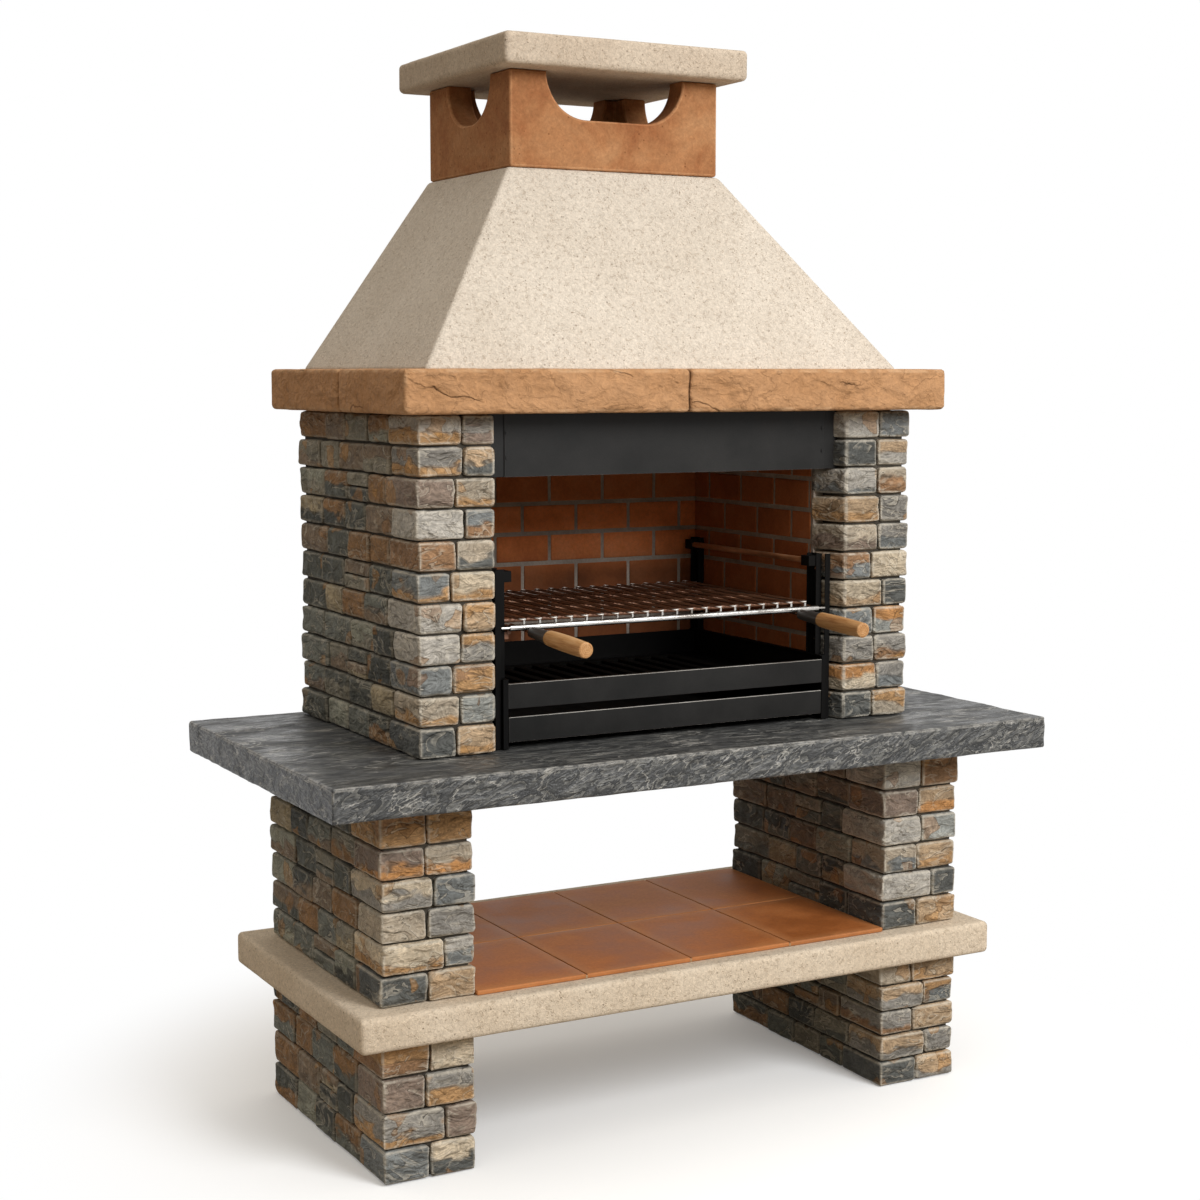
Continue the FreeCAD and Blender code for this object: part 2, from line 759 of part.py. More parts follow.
def handle_pieces(x):
    # Rod, ferrule and grip on one axis, which droops a little from where the rod meets the front bar.
    pivot = (x, front_bar_y, side_bar_z - front_bar_radius - weld_gap - handle_rod_radius)
    bore = handle_rod_radius + handle_bore_gap
    ferrule_end = (x, ferrule_y - ferrule_length, pivot[2])
    tip = (x, handle_tip_y, pivot[2])
    tang_end = (x, grip_y - grip_tang, pivot[2])
    shank = rod((x, front_bar_y + handle_tang, pivot[2]), tang_end, handle_rod_radius)
    hole = rod((x, ferrule_y, pivot[2]), tang_end, bore)
    radii = (ferrule_back_radius, ferrule_front_radius, ferrule_length)
    ferrule = Part.makeCone(*radii, vec(x, ferrule_y, pivot[2]), vec(0, -1, 0)).cut(hole)
    profile = [vec(grip_radius, 0, 0), vec(grip_radius + grip_swell, 0, grip_length / 2)]
    profile.append(vec(grip_radius, 0, grip_length))
    edges = [
        Part.Arc(*profile).toShape(),
        Part.LineSegment(profile[2], vec(0, 0, grip_length)).toShape(),
        Part.LineSegment(vec(0, 0, grip_length), vec(0, 0, 0)).toShape(),
        Part.LineSegment(vec(0, 0, 0), profile[0]).toShape(),
    ]
    grip = Part.Face(Part.Wire(edges)).revolve(vec(0, 0, 0), vec(0, 0, 1), 360)
    rims = [edge for edge in grip.Edges if edge.BoundBox.ZLength < 0.01]
    grip = grip.makeFillet(grip_edge_radius, rims)
    grip.rotate(vec(0, 0, 0), vec(1, 0, 0), 90)
    grip.translate(vec(*ferrule_end))
    pieces = [shank, ferrule, grip.cut(hole)]
    for piece in pieces:
        piece.rotate(vec(*pivot), vec(1, 0, 0), handle_droop)
    return pieces


def handles():
    left = handle_pieces(-handle_x)
    right = handle_pieces(handle_x)
    for name, pair in zip(("handle_rods", "handle_ferrules", "handle_grips"), zip(left, right)):
        save(name, *pair)


legs()
slabs()
shelf_floor()
walls()
lining()
mantel()
chimney()
visor()
base()
drawer()
rack()
carrier()
grate()
handles()
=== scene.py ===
import json
import math
import random

import bpy
import numpy as np
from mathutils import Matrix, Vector


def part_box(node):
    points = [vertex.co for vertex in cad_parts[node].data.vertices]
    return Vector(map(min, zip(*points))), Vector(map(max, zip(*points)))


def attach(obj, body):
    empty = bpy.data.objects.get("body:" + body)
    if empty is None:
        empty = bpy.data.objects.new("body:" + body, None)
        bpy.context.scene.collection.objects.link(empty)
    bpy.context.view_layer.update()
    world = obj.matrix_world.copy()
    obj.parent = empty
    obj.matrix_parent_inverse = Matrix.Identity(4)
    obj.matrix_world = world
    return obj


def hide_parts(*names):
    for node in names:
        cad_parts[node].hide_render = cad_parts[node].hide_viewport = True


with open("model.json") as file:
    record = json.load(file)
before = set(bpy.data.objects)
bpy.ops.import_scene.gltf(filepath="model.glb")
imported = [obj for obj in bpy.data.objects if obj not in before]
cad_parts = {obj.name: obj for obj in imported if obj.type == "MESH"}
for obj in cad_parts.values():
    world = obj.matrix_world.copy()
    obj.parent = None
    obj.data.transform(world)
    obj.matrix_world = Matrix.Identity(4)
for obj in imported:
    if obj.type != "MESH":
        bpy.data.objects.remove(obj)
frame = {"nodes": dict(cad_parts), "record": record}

# All sizes are metres, in the frame of the CAD model.

for spare in ("Cube", "Light", "Camera"):        # what a new file starts with
    if spare in bpy.data.objects:
        bpy.data.objects.remove(bpy.data.objects[spare])
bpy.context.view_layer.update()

mm = 0.001


# Mesh tools

def cutLines(low, high, rim, step):
    # lines along one axis: close together at both ends, then even steps
    ends = [r for r in rim if r < (high - low) / 2.5]
    inner = high - low - 2 * ends[-1]
    count = max(1, round(inner / step))
    middle = [low + ends[-1] + inner * i / count for i in range(1, count)]
    return np.array([low + r for r in ends] + middle + [high - r for r in reversed(ends)])


def latticeSkin(xs, ys, zs, filled=None):
    # outer skin of the filled cells between three sets of lines, as points and quads
    cells = np.ones((len(xs) - 1, len(ys) - 1, len(zs) - 1), bool) if filled is None else filled
    walled = np.pad(cells, 1)
    ids = np.arange(len(xs) * len(ys) * len(zs)).reshape(len(xs), len(ys), len(zs))
    grid = np.stack(np.meshgrid(xs, ys, zs, indexing="ij"), -1).reshape(-1, 3)
    quads = []
    for axis in range(3):
        across, along = [a for a in range(3) if a != axis]
        for side in (0, 1):
            beyond = np.roll(walled, 1 - 2 * side, axis)[1:-1, 1:-1, 1:-1]
            base = np.argwhere(cells & ~beyond)
            base[:, axis] += side
            ring = []
            for stepAcross, stepAlong in ((0, 0), (1, 0), (1, 1), (0, 1)):
                corner = base.copy()
                corner[:, across] += stepAcross
                corner[:, along] += stepAlong
                ring.append(ids[tuple(corner.T)])
            ring = np.stack(ring, 1)
            quads.append(ring[:, ::-1] if (side == 0) != (axis == 1) else ring)
    used, quads = np.unique(np.concatenate(quads), return_inverse=True)
    return grid[used], quads.reshape(-1, 4)


def corners(node):
    return [np.array(corner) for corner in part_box(node)]


def boxSkin(low, high, rim, step):
    return latticeSkin(*(cutLines(low[a], high[a], rim, step) for a in range(3)))


scramble = {        # large odd numbers that mix a cell's place into a random value
    "cell": np.array((374761393, 668265263, 1440662683)), "seed": 974634777,
    "rounds": ((13, 1274126177), (15, 2246822519)),
}


def softNoise(points, size, seed=0):
    # smooth noise from -1 to 1, with lumps of about the given size (one number or three)
    spot = points / np.array(size)
    cell = np.floor(spot).astype(np.int64)
    share = spot - cell
    share = share * share * (3 - 2 * share)
    total = np.zeros(len(points))
    for corner in np.ndindex(2, 2, 2):
        code = ((cell + corner) @ scramble["cell"] + seed * scramble["seed"]) & 0xFFFFFFFF
        for shift, factor in scramble["rounds"]:
            code = ((code ^ (code >> shift)) * factor) & 0xFFFFFFFF
        value = ((code ^ (code >> 16)) & 0xFFFF) / 32767.5 - 1
        total += np.where(corner, share, 1 - share).prod(1) * value
    return total


def layeredNoise(points, size, seed=0, layers=3):
    total = np.zeros(len(points))
    for layer in range(layers):
        total += softNoise(points, np.array(size) / 2 ** layer, seed + layer) / 2 ** layer
    return total / (2 - 0.5 ** (layers - 1))


def unitNoise(points, size, seed=0, layers=3):
    return 0.5 + 0.5 * layeredNoise(points, size, seed, layers)


def roundedOut(points, low, high, radius):
    # points on a box pulled in to round edges, and the way out at each one
    reach = np.reshape(radius, (-1, 1)) * np.ones((len(points), 1))
    core = np.clip(points, low + reach, high - reach)
    away = points - core
    length = np.linalg.norm(away, axis=1, keepdims=True)
    way = np.divide(away, length, out=np.zeros_like(away), where=length > 1e-9)
    return core + way * np.minimum(length, reach), way


def edgeDistance(points, low, high):
    # how far a point on a box's skin is from the nearest edge of the box
    inside = np.minimum(points - low, high - points)
    return np.sort(inside, axis=1)[:, 1]


def putIn(name, data):
    thing = bpy.data.objects.new(name, data)
    bpy.context.scene.collection.objects.link(thing)
    return thing


def camelName(node):
    first, *others = node.split("_")
    return first + "".join(word.title() for word in others)


def meshPiece(name, points, quads, node, shades=None):
    # a piece that stands for a CAD node, on the root body and with its slot
    mesh = bpy.data.meshes.new(name)
    mesh.vertices.add(len(points))
    mesh.vertices.foreach_set("co", points.astype(np.float32).ravel())
    mesh.loops.add(quads.size)
    mesh.loops.foreach_set("vertex_index", quads.astype(np.int32).ravel())
    mesh.polygons.add(len(quads))
    mesh.polygons.foreach_set("loop_start", np.arange(0, quads.size, 4, dtype=np.int32))
    mesh.polygons.foreach_set("use_smooth", np.ones(len(quads), bool))
    mesh.update(calc_edges=True)
    for label, values in (shades or {}).items():
        values = np.asarray(values, np.float32)
        if values.ndim == 1:
            mesh.attributes.new(label, "FLOAT", "POINT").data.foreach_set("value", values)
        else:
            mesh.attributes.new(label, "FLOAT_COLOR", "POINT").data.foreach_set("color", values.ravel())
    piece = putIn(name, mesh)
    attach(piece, "root")
    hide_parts(node)
    mesh.materials.append(finishFor(node))
    return piece


def gathered(parts):
    # several skins as one, with their shades
    points, quads, shades, start = [], [], {}, 0
    for partPoints, partQuads, partShades in parts:
        points.append(partPoints)
        quads.append(partQuads + start)
        start += len(partPoints)
        for label, values in partShades.items():
            shades.setdefault(label, []).append(values)
    return np.concatenate(points), np.concatenate(quads), {k: np.concatenate(v) for k, v in shades.items()}


def solidBoxes(node):
    # lowest and highest corner of each solid in a CAD node: its faces come solid by solid,
    # and a solid is whole when every edge has been met twice
    mesh = frame["nodes"][node].data
    spots = [tuple(round(c, 6) for c in vertex.co) for vertex in mesh.vertices]
    boxes, met, openEdges = [], [], set()
    for face in mesh.polygons:
        ring = [spots[i] for i in face.vertices]
        met += ring
        for a, b in zip(ring, ring[1:] + ring[:1]):
            openEdges ^= {frozenset((a, b))}
        if not openEdges:
            block = np.array(met)
            boxes.append((block.min(0), block.max(0)))
            met = []
    return boxes


# Material tools

def tint(code):
    # linear colour from a hex code as seen on screen
    parts = [int(code[i:i + 2], 16) / 255 for i in (0, 2, 4)]
    return tuple(p / 12.92 if p <= 0.04045 else ((p + 0.055) / 1.055) ** 2.4 for p in parts) + (1.0,)


canvas = {}        # the node tree that the tools below draw in, its material and its shader


def openTree(owner):
    owner.use_nodes = True
    canvas["tree"] = owner.node_tree
    owner.node_tree.nodes.clear()


def feed(socket, value):
    # a node's output is linked, any other value is set
    if isinstance(value, bpy.types.NodeSocket):
        canvas["tree"].links.new(value, socket)
    else:
        socket.default_value = value


def add(kind, sockets=None, **settings):
    node = canvas["tree"].nodes.new("ShaderNode" + kind)
    for key, value in settings.items():
        setattr(node, key, value)
    for key, value in (sockets or {}).items():
        feed(node.inputs[key], value)
    return node


def newFinish(name):
    canvas["finish"] = bpy.data.materials.new(name)
    openTree(canvas["finish"])
    canvas["skin"] = add("BsdfPrincipled")
    add("OutputMaterial", {"Surface": canvas["skin"].outputs[0]})


def place(stretch=(1, 1, 1), shift=None):
    # where on the object we are, in metres, stretched and shifted
    spot = add("TexCoord").outputs["Object"]
    if shift is not None:
        spot = add("VectorMath", {0: spot, 1: shift}, operation="ADD").outputs[0]
    return add("VectorMath", {0: spot, 1: stretch}, operation="MULTIPLY").outputs[0]


def speckle(spot, scale, detail=4, roughness=0.55, distortion=0.0):
    look = {"Scale": scale, "Detail": detail, "Roughness": roughness, "Distortion": distortion}
    return add("TexNoise", {"Vector": spot, **look}).outputs["Fac"]


def span(value, fromLow, fromHigh, toLow=0.0, toHigh=1.0, kind="SMOOTHSTEP"):
    sockets = {"Value": value, "From Min": fromLow, "From Max": fromHigh, "To Min": toLow, "To Max": toHigh}
    return add("MapRange", sockets, interpolation_type=kind).outputs["Result"]


def times(first, second):
    return add("Math", {0: first, 1: second}, operation="MULTIPLY").outputs[0]


def plus(first, second):
    return add("Math", {0: first, 1: second}, operation="ADD").outputs[0]


def minus(first, second):
    return add("Math", {0: first, 1: second}, operation="SUBTRACT").outputs[0]


def larger(first, second):
    return add("Math", {0: first, 1: second}, operation="MAXIMUM").outputs[0]


def sizeOf(value):
    return add("Math", {0: value}, operation="ABSOLUTE").outputs[0]


def axesOf(vector):
    return add("SeparateXYZ", {0: vector}).outputs


def wayOut():
    # X, Y and Z of the surface's normal
    return axesOf(add("NewGeometry").outputs["Normal"])


def blendColours(share, first, second, how="MIX"):
    node = add("Mix", data_type="RGBA", blend_type=how)
    for index, value in ((0, share), (6, first), (7, second)):
        feed(node.inputs[index], value)
    return node.outputs[2]


def stained(colour, mask, code, strength=None):
    # another colour laid over the first one where the mask shows
    share = mask if strength is None else times(mask, strength)
    return blendColours(share, colour, tint(code))


def ramp(value, stops):
    node = add("ValToRGB", {"Fac": value})
    band = node.color_ramp
    while len(band.elements) < len(stops):
        band.elements.new(0.5)
    for element, (position, colour) in zip(band.elements, stops):
        element.position = position
        element.color = colour
    return node.outputs["Color"]


def twoTones(value, dark, light, low, high):
    return ramp(value, ((low, tint(dark)), (high, tint(light))))


def threeTones(value, look, low, middle, high):
    tones = zip((low, middle, high), ("deep", "base", "pale"))
    return ramp(value, [(position, tint(look[tone])) for position, tone in tones])


def relief(*layers):
    # height, depth in millimetres and strength of each layer, one on another
    under = {}
    for height, depth, strength in layers:
        bump = add("Bump", {"Height": height, "Distance": depth * mm, "Strength": strength, **under})
        under = {"Normal": bump.outputs["Normal"]}
    return under["Normal"]


def dressed(colour, rough, **others):
    # the finish, with its shader's sockets filled
    for key, value in {"Base Color": colour, "Roughness": rough, **others}.items():
        feed(canvas["skin"].inputs[key], value)
    return canvas["finish"]


def textured(colour, rough, bump, shine):
    return dressed(colour, rough, Normal=bump, **{"Specular IOR Level": shine})


def attribute(name, output="Fac"):
    return add("Attribute", attribute_name=name).outputs[output]


def shaded(colour, value, dark, light, low=0.3, high=0.7):
    # colour made darker and lighter by a texture
    grey = ramp(value, ((low, (dark, dark, dark, 1)), (high, (light, light, light, 1))))
    return blendColours(1.0, colour, grey, "MULTIPLY")


def contour(value, level, width):
    # thin line where a texture passes a level
    return span(sizeOf(minus(value, level)), 0.0, width, 1.0, 0.0)


def ownShift(reach):
    # each stone, brick or tile takes another stretch of the texture
    seed = attribute("seed")
    return add("CombineXYZ", {i: times(seed, r) for i, r in enumerate(reach)}).outputs[0]


def steps(value, count):
    # a texture cut into ledges: each rises slowly and drops at once
    return add("Math", {0: times(value, count)}, operation="FRACT").outputs[0]


def dotted(spot, scale, size, chance):
    # round dots in some of the cells
    cells = add("TexVoronoi", {"Vector": spot, "Scale": scale}).outputs
    drawn = add("SeparateColor", {0: cells["Color"]}).outputs["Red"]
    return times(span(cells["Distance"], 0.24, size), span(drawn, chance, chance + 0.04))


def bentSpot(spot, scale, reach):
    # place on the object, bent about by a noise
    drift = add("TexNoise", {"Vector": spot, "Scale": scale, "Detail": 1}).outputs["Color"]
    return add("VectorMath", {0: drift, 1: (reach,) * 3, 2: spot}, operation="MULTIPLY_ADD").outputs[0]


# Finishes

# the crease and ridge colours are painted shade and painted highlight; the rim colour is wear and a painted
# highlight
stoneFinish = {
    "rim": "D2CCBE", "ochre": "B98B50", "rust": "8F673F", "crease": "26221D", "ridge": "D2CBBB",
    "ledges": 4.5, "folds": 8.0, "cells": 23,
}


def makeStone():
    newFinish("splitStone")
    lower = add("Attribute", attribute_name="lowerTone").outputs        # alpha: how far up it reaches
    front = attribute("front")
    shift = ownShift((31.0, 17.0, 53.0))
    spot = place((1, 1, 1), shift)
    flat = place((1, 1, 2.0), shift)
    wander = speckle(flat, 10, 2, 0.5, 0.6)
    height = plus(attribute("rise"), span(wander, 0.25, 0.75, -0.36, 0.36, "LINEAR"))
    gap = minus(height, lower["Alpha"])
    colour = blendColours(span(gap, -0.1, 0.1), lower["Color"], attribute("upperTone", "Color"))
    seam = contour(gap, 0.0, 0.05)
    # rusty patches with a crisp outline
    cell = {"Vector": bentSpot(spot, 20, 0.04), "Scale": stoneFinish["cells"]}
    drawn = add("SeparateColor", {0: add("TexVoronoi", cell).outputs["Color"]}).outputs
    rusty = span(drawn["Red"], 0.925, 0.935)
    rust = blendColours(drawn["Green"], tint(stoneFinish["rust"]), tint(stoneFinish["ochre"]))
    colour = blendColours(times(rusty, 0.5), colour, rust)
    outline = add("TexVoronoi", cell, feature="DISTANCE_TO_EDGE").outputs["Distance"]
    outline = times(span(outline, 0.0, 0.06, 1.0, 0.0), rusty)
    # clouds, wavy folds painted with shade and highlight, and grain
    clouds = speckle(spot, 26, 4, 0.6)
    colour = shaded(colour, clouds, 0.8, 1.18)
    folds = steps(speckle(flat, 19, 2, 0.5, 1.3), stoneFinish["folds"])
    colour = shaded(colour, folds, 0.76, 1.2, 0.0, 1.0)
    grain = speckle(spot, 120, 4, 0.7)
    colour = shaded(colour, grain, 0.8, 1.18)
    # split layers: painted shade in each step, beside a painted highlight on the ridge
    ledges = steps(speckle(flat, 11, 3, 0.5, 1.0), stoneFinish["ledges"])
    shown = span(speckle(spot, 15, 2), 0.36, 0.52)
    crease = times(span(ledges, 0.0, 0.12, 1.0, 0.0), shown)
    # the dark outlines of rust patches and the dark seam between the two tones join the painted crease shade
    crease = larger(crease, larger(outline, times(seam, shown)))
    ridge = times(span(ledges, 0.72, 1.0), shown)
    # painted shade in the hollows of the split face and a painted highlight on its high parts
    colour = shaded(colour, attribute("lift"), 0.8, 1.1, 0.2, 0.8)
    colour = stained(colour, crease, stoneFinish["crease"], 0.54)
    colour = stained(colour, ridge, stoneFinish["ridge"], 0.36)
    # pale rims: worn edges and a painted highlight, stronger on the lit front faces
    rimWearAndHighlight = span(speckle(spot, 40, 3), 0.32, 0.6, 0.35, 1.0)
    rimWearAndHighlight = times(rimWearAndHighlight, span(front, 0, 1, 0.42, 0.88, "LINEAR"))
    colour = stained(colour, attribute("rim"), stoneFinish["rim"], rimWearAndHighlight)
    bump = relief((ledges, 6, 0.7), (folds, 2.5, 0.7), (grain, 1.6, 0.5))
    return textured(colour, span(grain, 0.2, 0.8, 0.68, 0.9), bump, 0.25)


mortarFinish = {
    "jointMortar": ("302D29", "57524A"), "liningMortar": ("93897F", "ADA399"),
    "tileGrout": ("A2835F", "C2A484"), "panelConcrete": ("837D74", "98928A"),
}


def makeMortar(name):
    dark, light = mortarFinish[name]
    newFinish(name)
    spot = place()
    sand = speckle(spot, 160, 8, 0.7)
    colour = twoTones(speckle(spot, 14, 4), dark, light, 0.3, 0.72)
    colour = shaded(colour, sand, 0.75, 1.12)
    bump = relief((sand, 1.5, 0.7))
    return textured(colour, 0.93, bump, 0.15)


creamFinish = {
    "hoodCream": {"base": "CAC0B2", "pale": "D2C9BC", "worm": "A08D77", "dot": "6E5A44"},
    # the cap's cream is darker than the hood's: painted shade, as its faces stand upright
    "capCream": {"base": "BEAE9B", "pale": "C9BBA9", "worm": "927D65", "dot": "5E4B38"},
    "shelfCream": {"base": "D0C0AA", "pale": "D9CBB7", "worm": "A08B70", "dot": "6E5941"},
}


def makeCream(name):
    look = creamFinish[name]
    newFinish(name)
    spot = place()
    clouds = speckle(spot, 5, 3, 0.5)
    colour = twoTones(clouds, look["base"], look["pale"], 0.32, 0.68)
    grit = speckle(spot, 190, 2, 0.6, 0.6)
    colour = shaded(colour, grit, 0.8, 1.15)
    worms = contour(speckle(spot, 120, 1, 0.5, 1.2), 0.5, 0.06)
    worms = times(worms, span(speckle(spot, 95, 1), 0.52, 0.58))
    colour = stained(colour, worms, look["worm"], 0.5)
    dots = dotted(spot, 95, 0.14, 0.8)
    colour = stained(colour, dots, look["dot"], 0.5)
    hollow = minus(1.0, larger(dots, times(worms, 0.7)))
    bump = relief((grit, 3, 0.6), (hollow, 2.0, 0.6))
    return textured(colour, span(grit, 0.3, 0.7, 0.84, 0.95), bump, 0.2)


slateFinish = {
    "deep": "202122", "base": "3D3E3E", "pale": "5B5C5C", "hair": "959590", "vein": "CDCBC4",
    "chip": "B0AEA8", "shadow": "131415", "slant": 24,
}


def makeSlate():
    newFinish("slateTop")
    spot = place()
    bands = speckle(place((1.5, 8, 7)), 3.4, 7, 0.66, 1.3)
    colour = threeTones(bands, slateFinish, 0.32, 0.5, 0.72)
    fine = speckle(place((1, 2.4, 2.0)), 62, 5, 0.7, 0.8)
    colour = shaded(colour, fine, 0.62, 1.32, 0.3, 0.72)
    facing = wayOut()
    leftEndShade = span(facing["X"], -0.4, -0.8)        # painted shade: the left end is darker
    colour = shaded(colour, leftEndShade, 1.0, 0.38, 0.0, 1.0)
    top = span(facing["Z"], 0.4, 0.8)
    side = minus(1.0, top)
    # riven top: long streaks and ledges along the slab, with painted shadow below each drop, a painted
    # highlight on each crest, and pale scratches
    streaks = speckle(place((1.3, 2.3, 1)), 4.4, 4, 0.6, 1.0)
    colour = blendColours(top, colour, shaded(colour, streaks, 0.62, 1.45, 0.36, 0.64))
    dull = times(span(streaks, 0.4, 0.6, 0.14, -0.1), top)
    ripple = steps(speckle(place((1.1, 3.6, 1)), 4.6, 4, 0.6, 0.6), 8.0)
    part = span(speckle(place((1, 2, 1)), 5, 2), 0.36, 0.5, 0.2, 1.0)
    drops = times(times(span(ripple, 0.0, 0.3, 1.0, 0.0), part), top)
    colour = stained(colour, drops, slateFinish["shadow"], 0.6)
    # painted highlight on the crests
    crests = times(times(span(ripple, 0.55, 1.0), part), top)
    colour = stained(colour, crests, slateFinish["hair"], 0.4)
    hairs = contour(speckle(place((1.2, 3, 1)), 4, 4, 0.6, 1.0), 0.52, 0.024)
    hairs = times(hairs, span(speckle(spot, 5, 3), 0.44, 0.58, 0, 0.45))
    colour = stained(colour, times(hairs, top), slateFinish["vein"])
    # split sides: slanting ledges with a painted highlight on each and painted shade in the hollows, and
    # short pale scratches
    angle = math.radians(slateFinish["slant"])
    slant = add("VectorRotate", {"Vector": spot, "Angle": angle}, rotation_type="Y_AXIS").outputs[0]
    slant = add("VectorMath", {0: slant, 1: (1, 1, 2.6)}, operation="MULTIPLY").outputs[0]
    split = steps(speckle(slant, 13, 4, 0.6, 0.4), 6.0)
    sideLedgeHighlight = times(span(split, 0.5, 1.0, 0, 0.4), side)
    colour = stained(colour, sideLedgeHighlight, slateFinish["hair"])
    hollow = times(span(split, 0.35, 0.0, 0, 0.75), side)
    colour = stained(colour, hollow, slateFinish["shadow"])
    veins = contour(speckle(slant, 15, 3, 0.55, 0.4), 0.5, 0.025)
    veins = times(veins, span(speckle(spot, 21, 3), 0.48, 0.6, 0, 0.5))
    colour = stained(colour, times(veins, side), slateFinish["vein"])
    chips = times(attribute("chip"), span(speckle(spot, 40, 4), 0.36, 0.6, 0, 0.75))
    colour = stained(colour, chips, slateFinish["chip"])
    bump = relief(
        (ripple, 3, span(top, 0, 1, 0.0, 0.8)),
        (split, 5, span(side, 0, 1, 0.0, 0.8)), (fine, 1.8, 0.5),
    )
    rough = plus(span(fine, 0.25, 0.75, 0.34, 0.56), dull)
    return textured(colour, rough, bump, 0.45)


tileFinish = {"deep": "9C5A2B", "base": "B26B37", "pale": "C17F4A", "dust": "CC9A6A"}


def makeTile():
    newFinish("terracottaTile")
    spot = place((1, 1, 1), ownShift((9.0, 5.0, 0.0)))
    clouds = speckle(spot, 7, 6, 0.6)
    tone = plus(clouds, span(attribute("seed"), 0, 1, -0.1, 0.1, "LINEAR"))
    colour = threeTones(tone, tileFinish, 0.28, 0.5, 0.75)
    grain = speckle(spot, 130, 6, 0.65)
    colour = shaded(colour, grain, 0.86, 1.1)
    # pale edges: dust and a painted highlight
    colour = stained(colour, attribute("rim"), tileFinish["dust"], 0.5)
    bump = relief((clouds, 2, 0.3), (grain, 0.6, 0.4))
    return textured(colour, span(clouds, 0.3, 0.7, 0.5, 0.66), bump, 0.25)


brickFinish = {        # soot and painted shade: from where to where each grows, and how thick it gets
    "deep": "CC7644", "base": "E2864F", "pale": "EA9562", "soot": "1E120B", "sides": 0.5,
    "upperSoot": (1.37, 1.41, 0, 0.42), "lowerSoot": (1.31, 1.2, 0, 0.76),
}


def makeBrick():
    newFinish("firebrick")
    spot = place((1, 1, 1), ownShift((9.0, 5.0, 7.0)))
    clouds = speckle(spot, 14, 6, 0.62)
    tone = plus(clouds, span(attribute("seed"), 0, 1, -0.14, 0.14, "LINEAR"))
    colour = threeTones(tone, brickFinish, 0.26, 0.5, 0.78)
    grain = speckle(spot, 140, 6, 0.7)
    colour = shaded(colour, grain, 0.82, 1.12)
    rise = axesOf(place())["Z"]
    smoke = attribute("smoke")        # 1 on the side walls, which take an even painted shade
    # painted shadow of the visor on the top rows, and soot with the painted shadow of the grate on the bottom
    # rows
    soot = plus(span(rise, *brickFinish["upperSoot"]), span(rise, *brickFinish["lowerSoot"]))
    soot = times(soot, minus(1.0, smoke))
    # the side walls take an even painted shade instead
    soot = plus(soot, times(smoke, brickFinish["sides"]))
    # random patches of soot over all
    soot = plus(soot, span(speckle(place(), 4, 4), 0.52, 0.75, 0, 0.14))
    colour = stained(colour, soot, brickFinish["soot"])
    bump = relief((grain, 1.2, 0.6))
    return textured(colour, 0.9, bump, 0.2)


mantelFinish = {
    "deep": "AA7F58", "base": "B38861", "pale": "BB9069", "crack": "54351C", "chip": "D9B894",
    "slope": (1.9, 1.4, 5.6),
}


def makeMantel():
    newFinish("mantelStone")
    spot = place()
    flat = place((1, 1, 1.5))
    clouds = speckle(flat, 9, 4, 0.55, 0.5)
    colour = threeTones(clouds, mantelFinish, 0.3, 0.5, 0.72)
    # split facets, with painted shade in the crease where one steps down to the next
    facets = steps(speckle(flat, 9, 3, 0.5, 0.5), 6.0)
    shown = span(speckle(spot, 12, 2), 0.44, 0.56)
    crease = times(span(facets, 0.0, 0.1, 1.0, 0.0), shown)
    chips = speckle(flat, 42, 4, 0.6, 0.8)
    colour = shaded(colour, chips, 0.86, 1.12, 0.32, 0.68)
    grain = speckle(spot, 120, 4, 0.7)
    colour = shaded(colour, grain, 0.86, 1.1)
    # long slanting cracks
    slope = add("VectorMath", {0: spot, 1: mantelFinish["slope"]}, operation="DOT_PRODUCT").outputs["Value"]
    bent = plus(slope, times(speckle(spot, 9, 3), 0.5))
    cracks = span(steps(bent, 1.0), 0.0, 0.025, 1.0, 0.0)
    cracks = times(cracks, span(speckle(spot, 6, 2), 0.5, 0.56))
    cracks = larger(cracks, attribute("joint"))
    # painted shade in the creases
    colour = stained(colour, crease, mantelFinish["crack"], 0.38)
    colour = stained(colour, cracks, mantelFinish["crack"], 0.7)
    ragged = times(attribute("rim"), span(speckle(spot, 26, 4), 0.42, 0.62, 0, 0.5))
    colour = stained(colour, ragged, mantelFinish["chip"])
    bump = relief((facets, 6, 0.8), (chips, 7, 0.8), (minus(1.0, cracks), 3, 0.8), (grain, 1.2, 0.4))
    return textured(colour, span(grain, 0.2, 0.8, 0.74, 0.92), bump, 0.2)


collarFinish = {
    "collarTerracotta": {"deep": "905A37", "base": "A5734C", "pale": "B4875F", "pit": "66391C"},
    # paler rounded edges: a painted highlight
    "collarEdge": {"deep": "A26B46", "base": "B8865E", "pale": "C69A72", "pit": "7A4A2A"},
}


def makeCollar(name):
    look = collarFinish[name]
    newFinish(name)
    spot = place()
    clouds = speckle(spot, 7, 6, 0.6, 0.8)
    colour = threeTones(clouds, look, 0.3, 0.5, 0.74)
    mottle = speckle(spot, 46, 6, 0.68, 0.8)
    colour = shaded(colour, mottle, 0.86, 1.13)
    grain = speckle(spot, 140, 5, 0.7)
    colour = shaded(colour, grain, 0.8, 1.14)
    pits = dotted(spot, 80, 0.12, 0.84)
    colour = stained(colour, pits, look["pit"], 0.6)
    bump = relief((mottle, 3, 0.4), (grain, 1.2, 0.5))
    return textured(colour, 0.86, bump, 0.2)


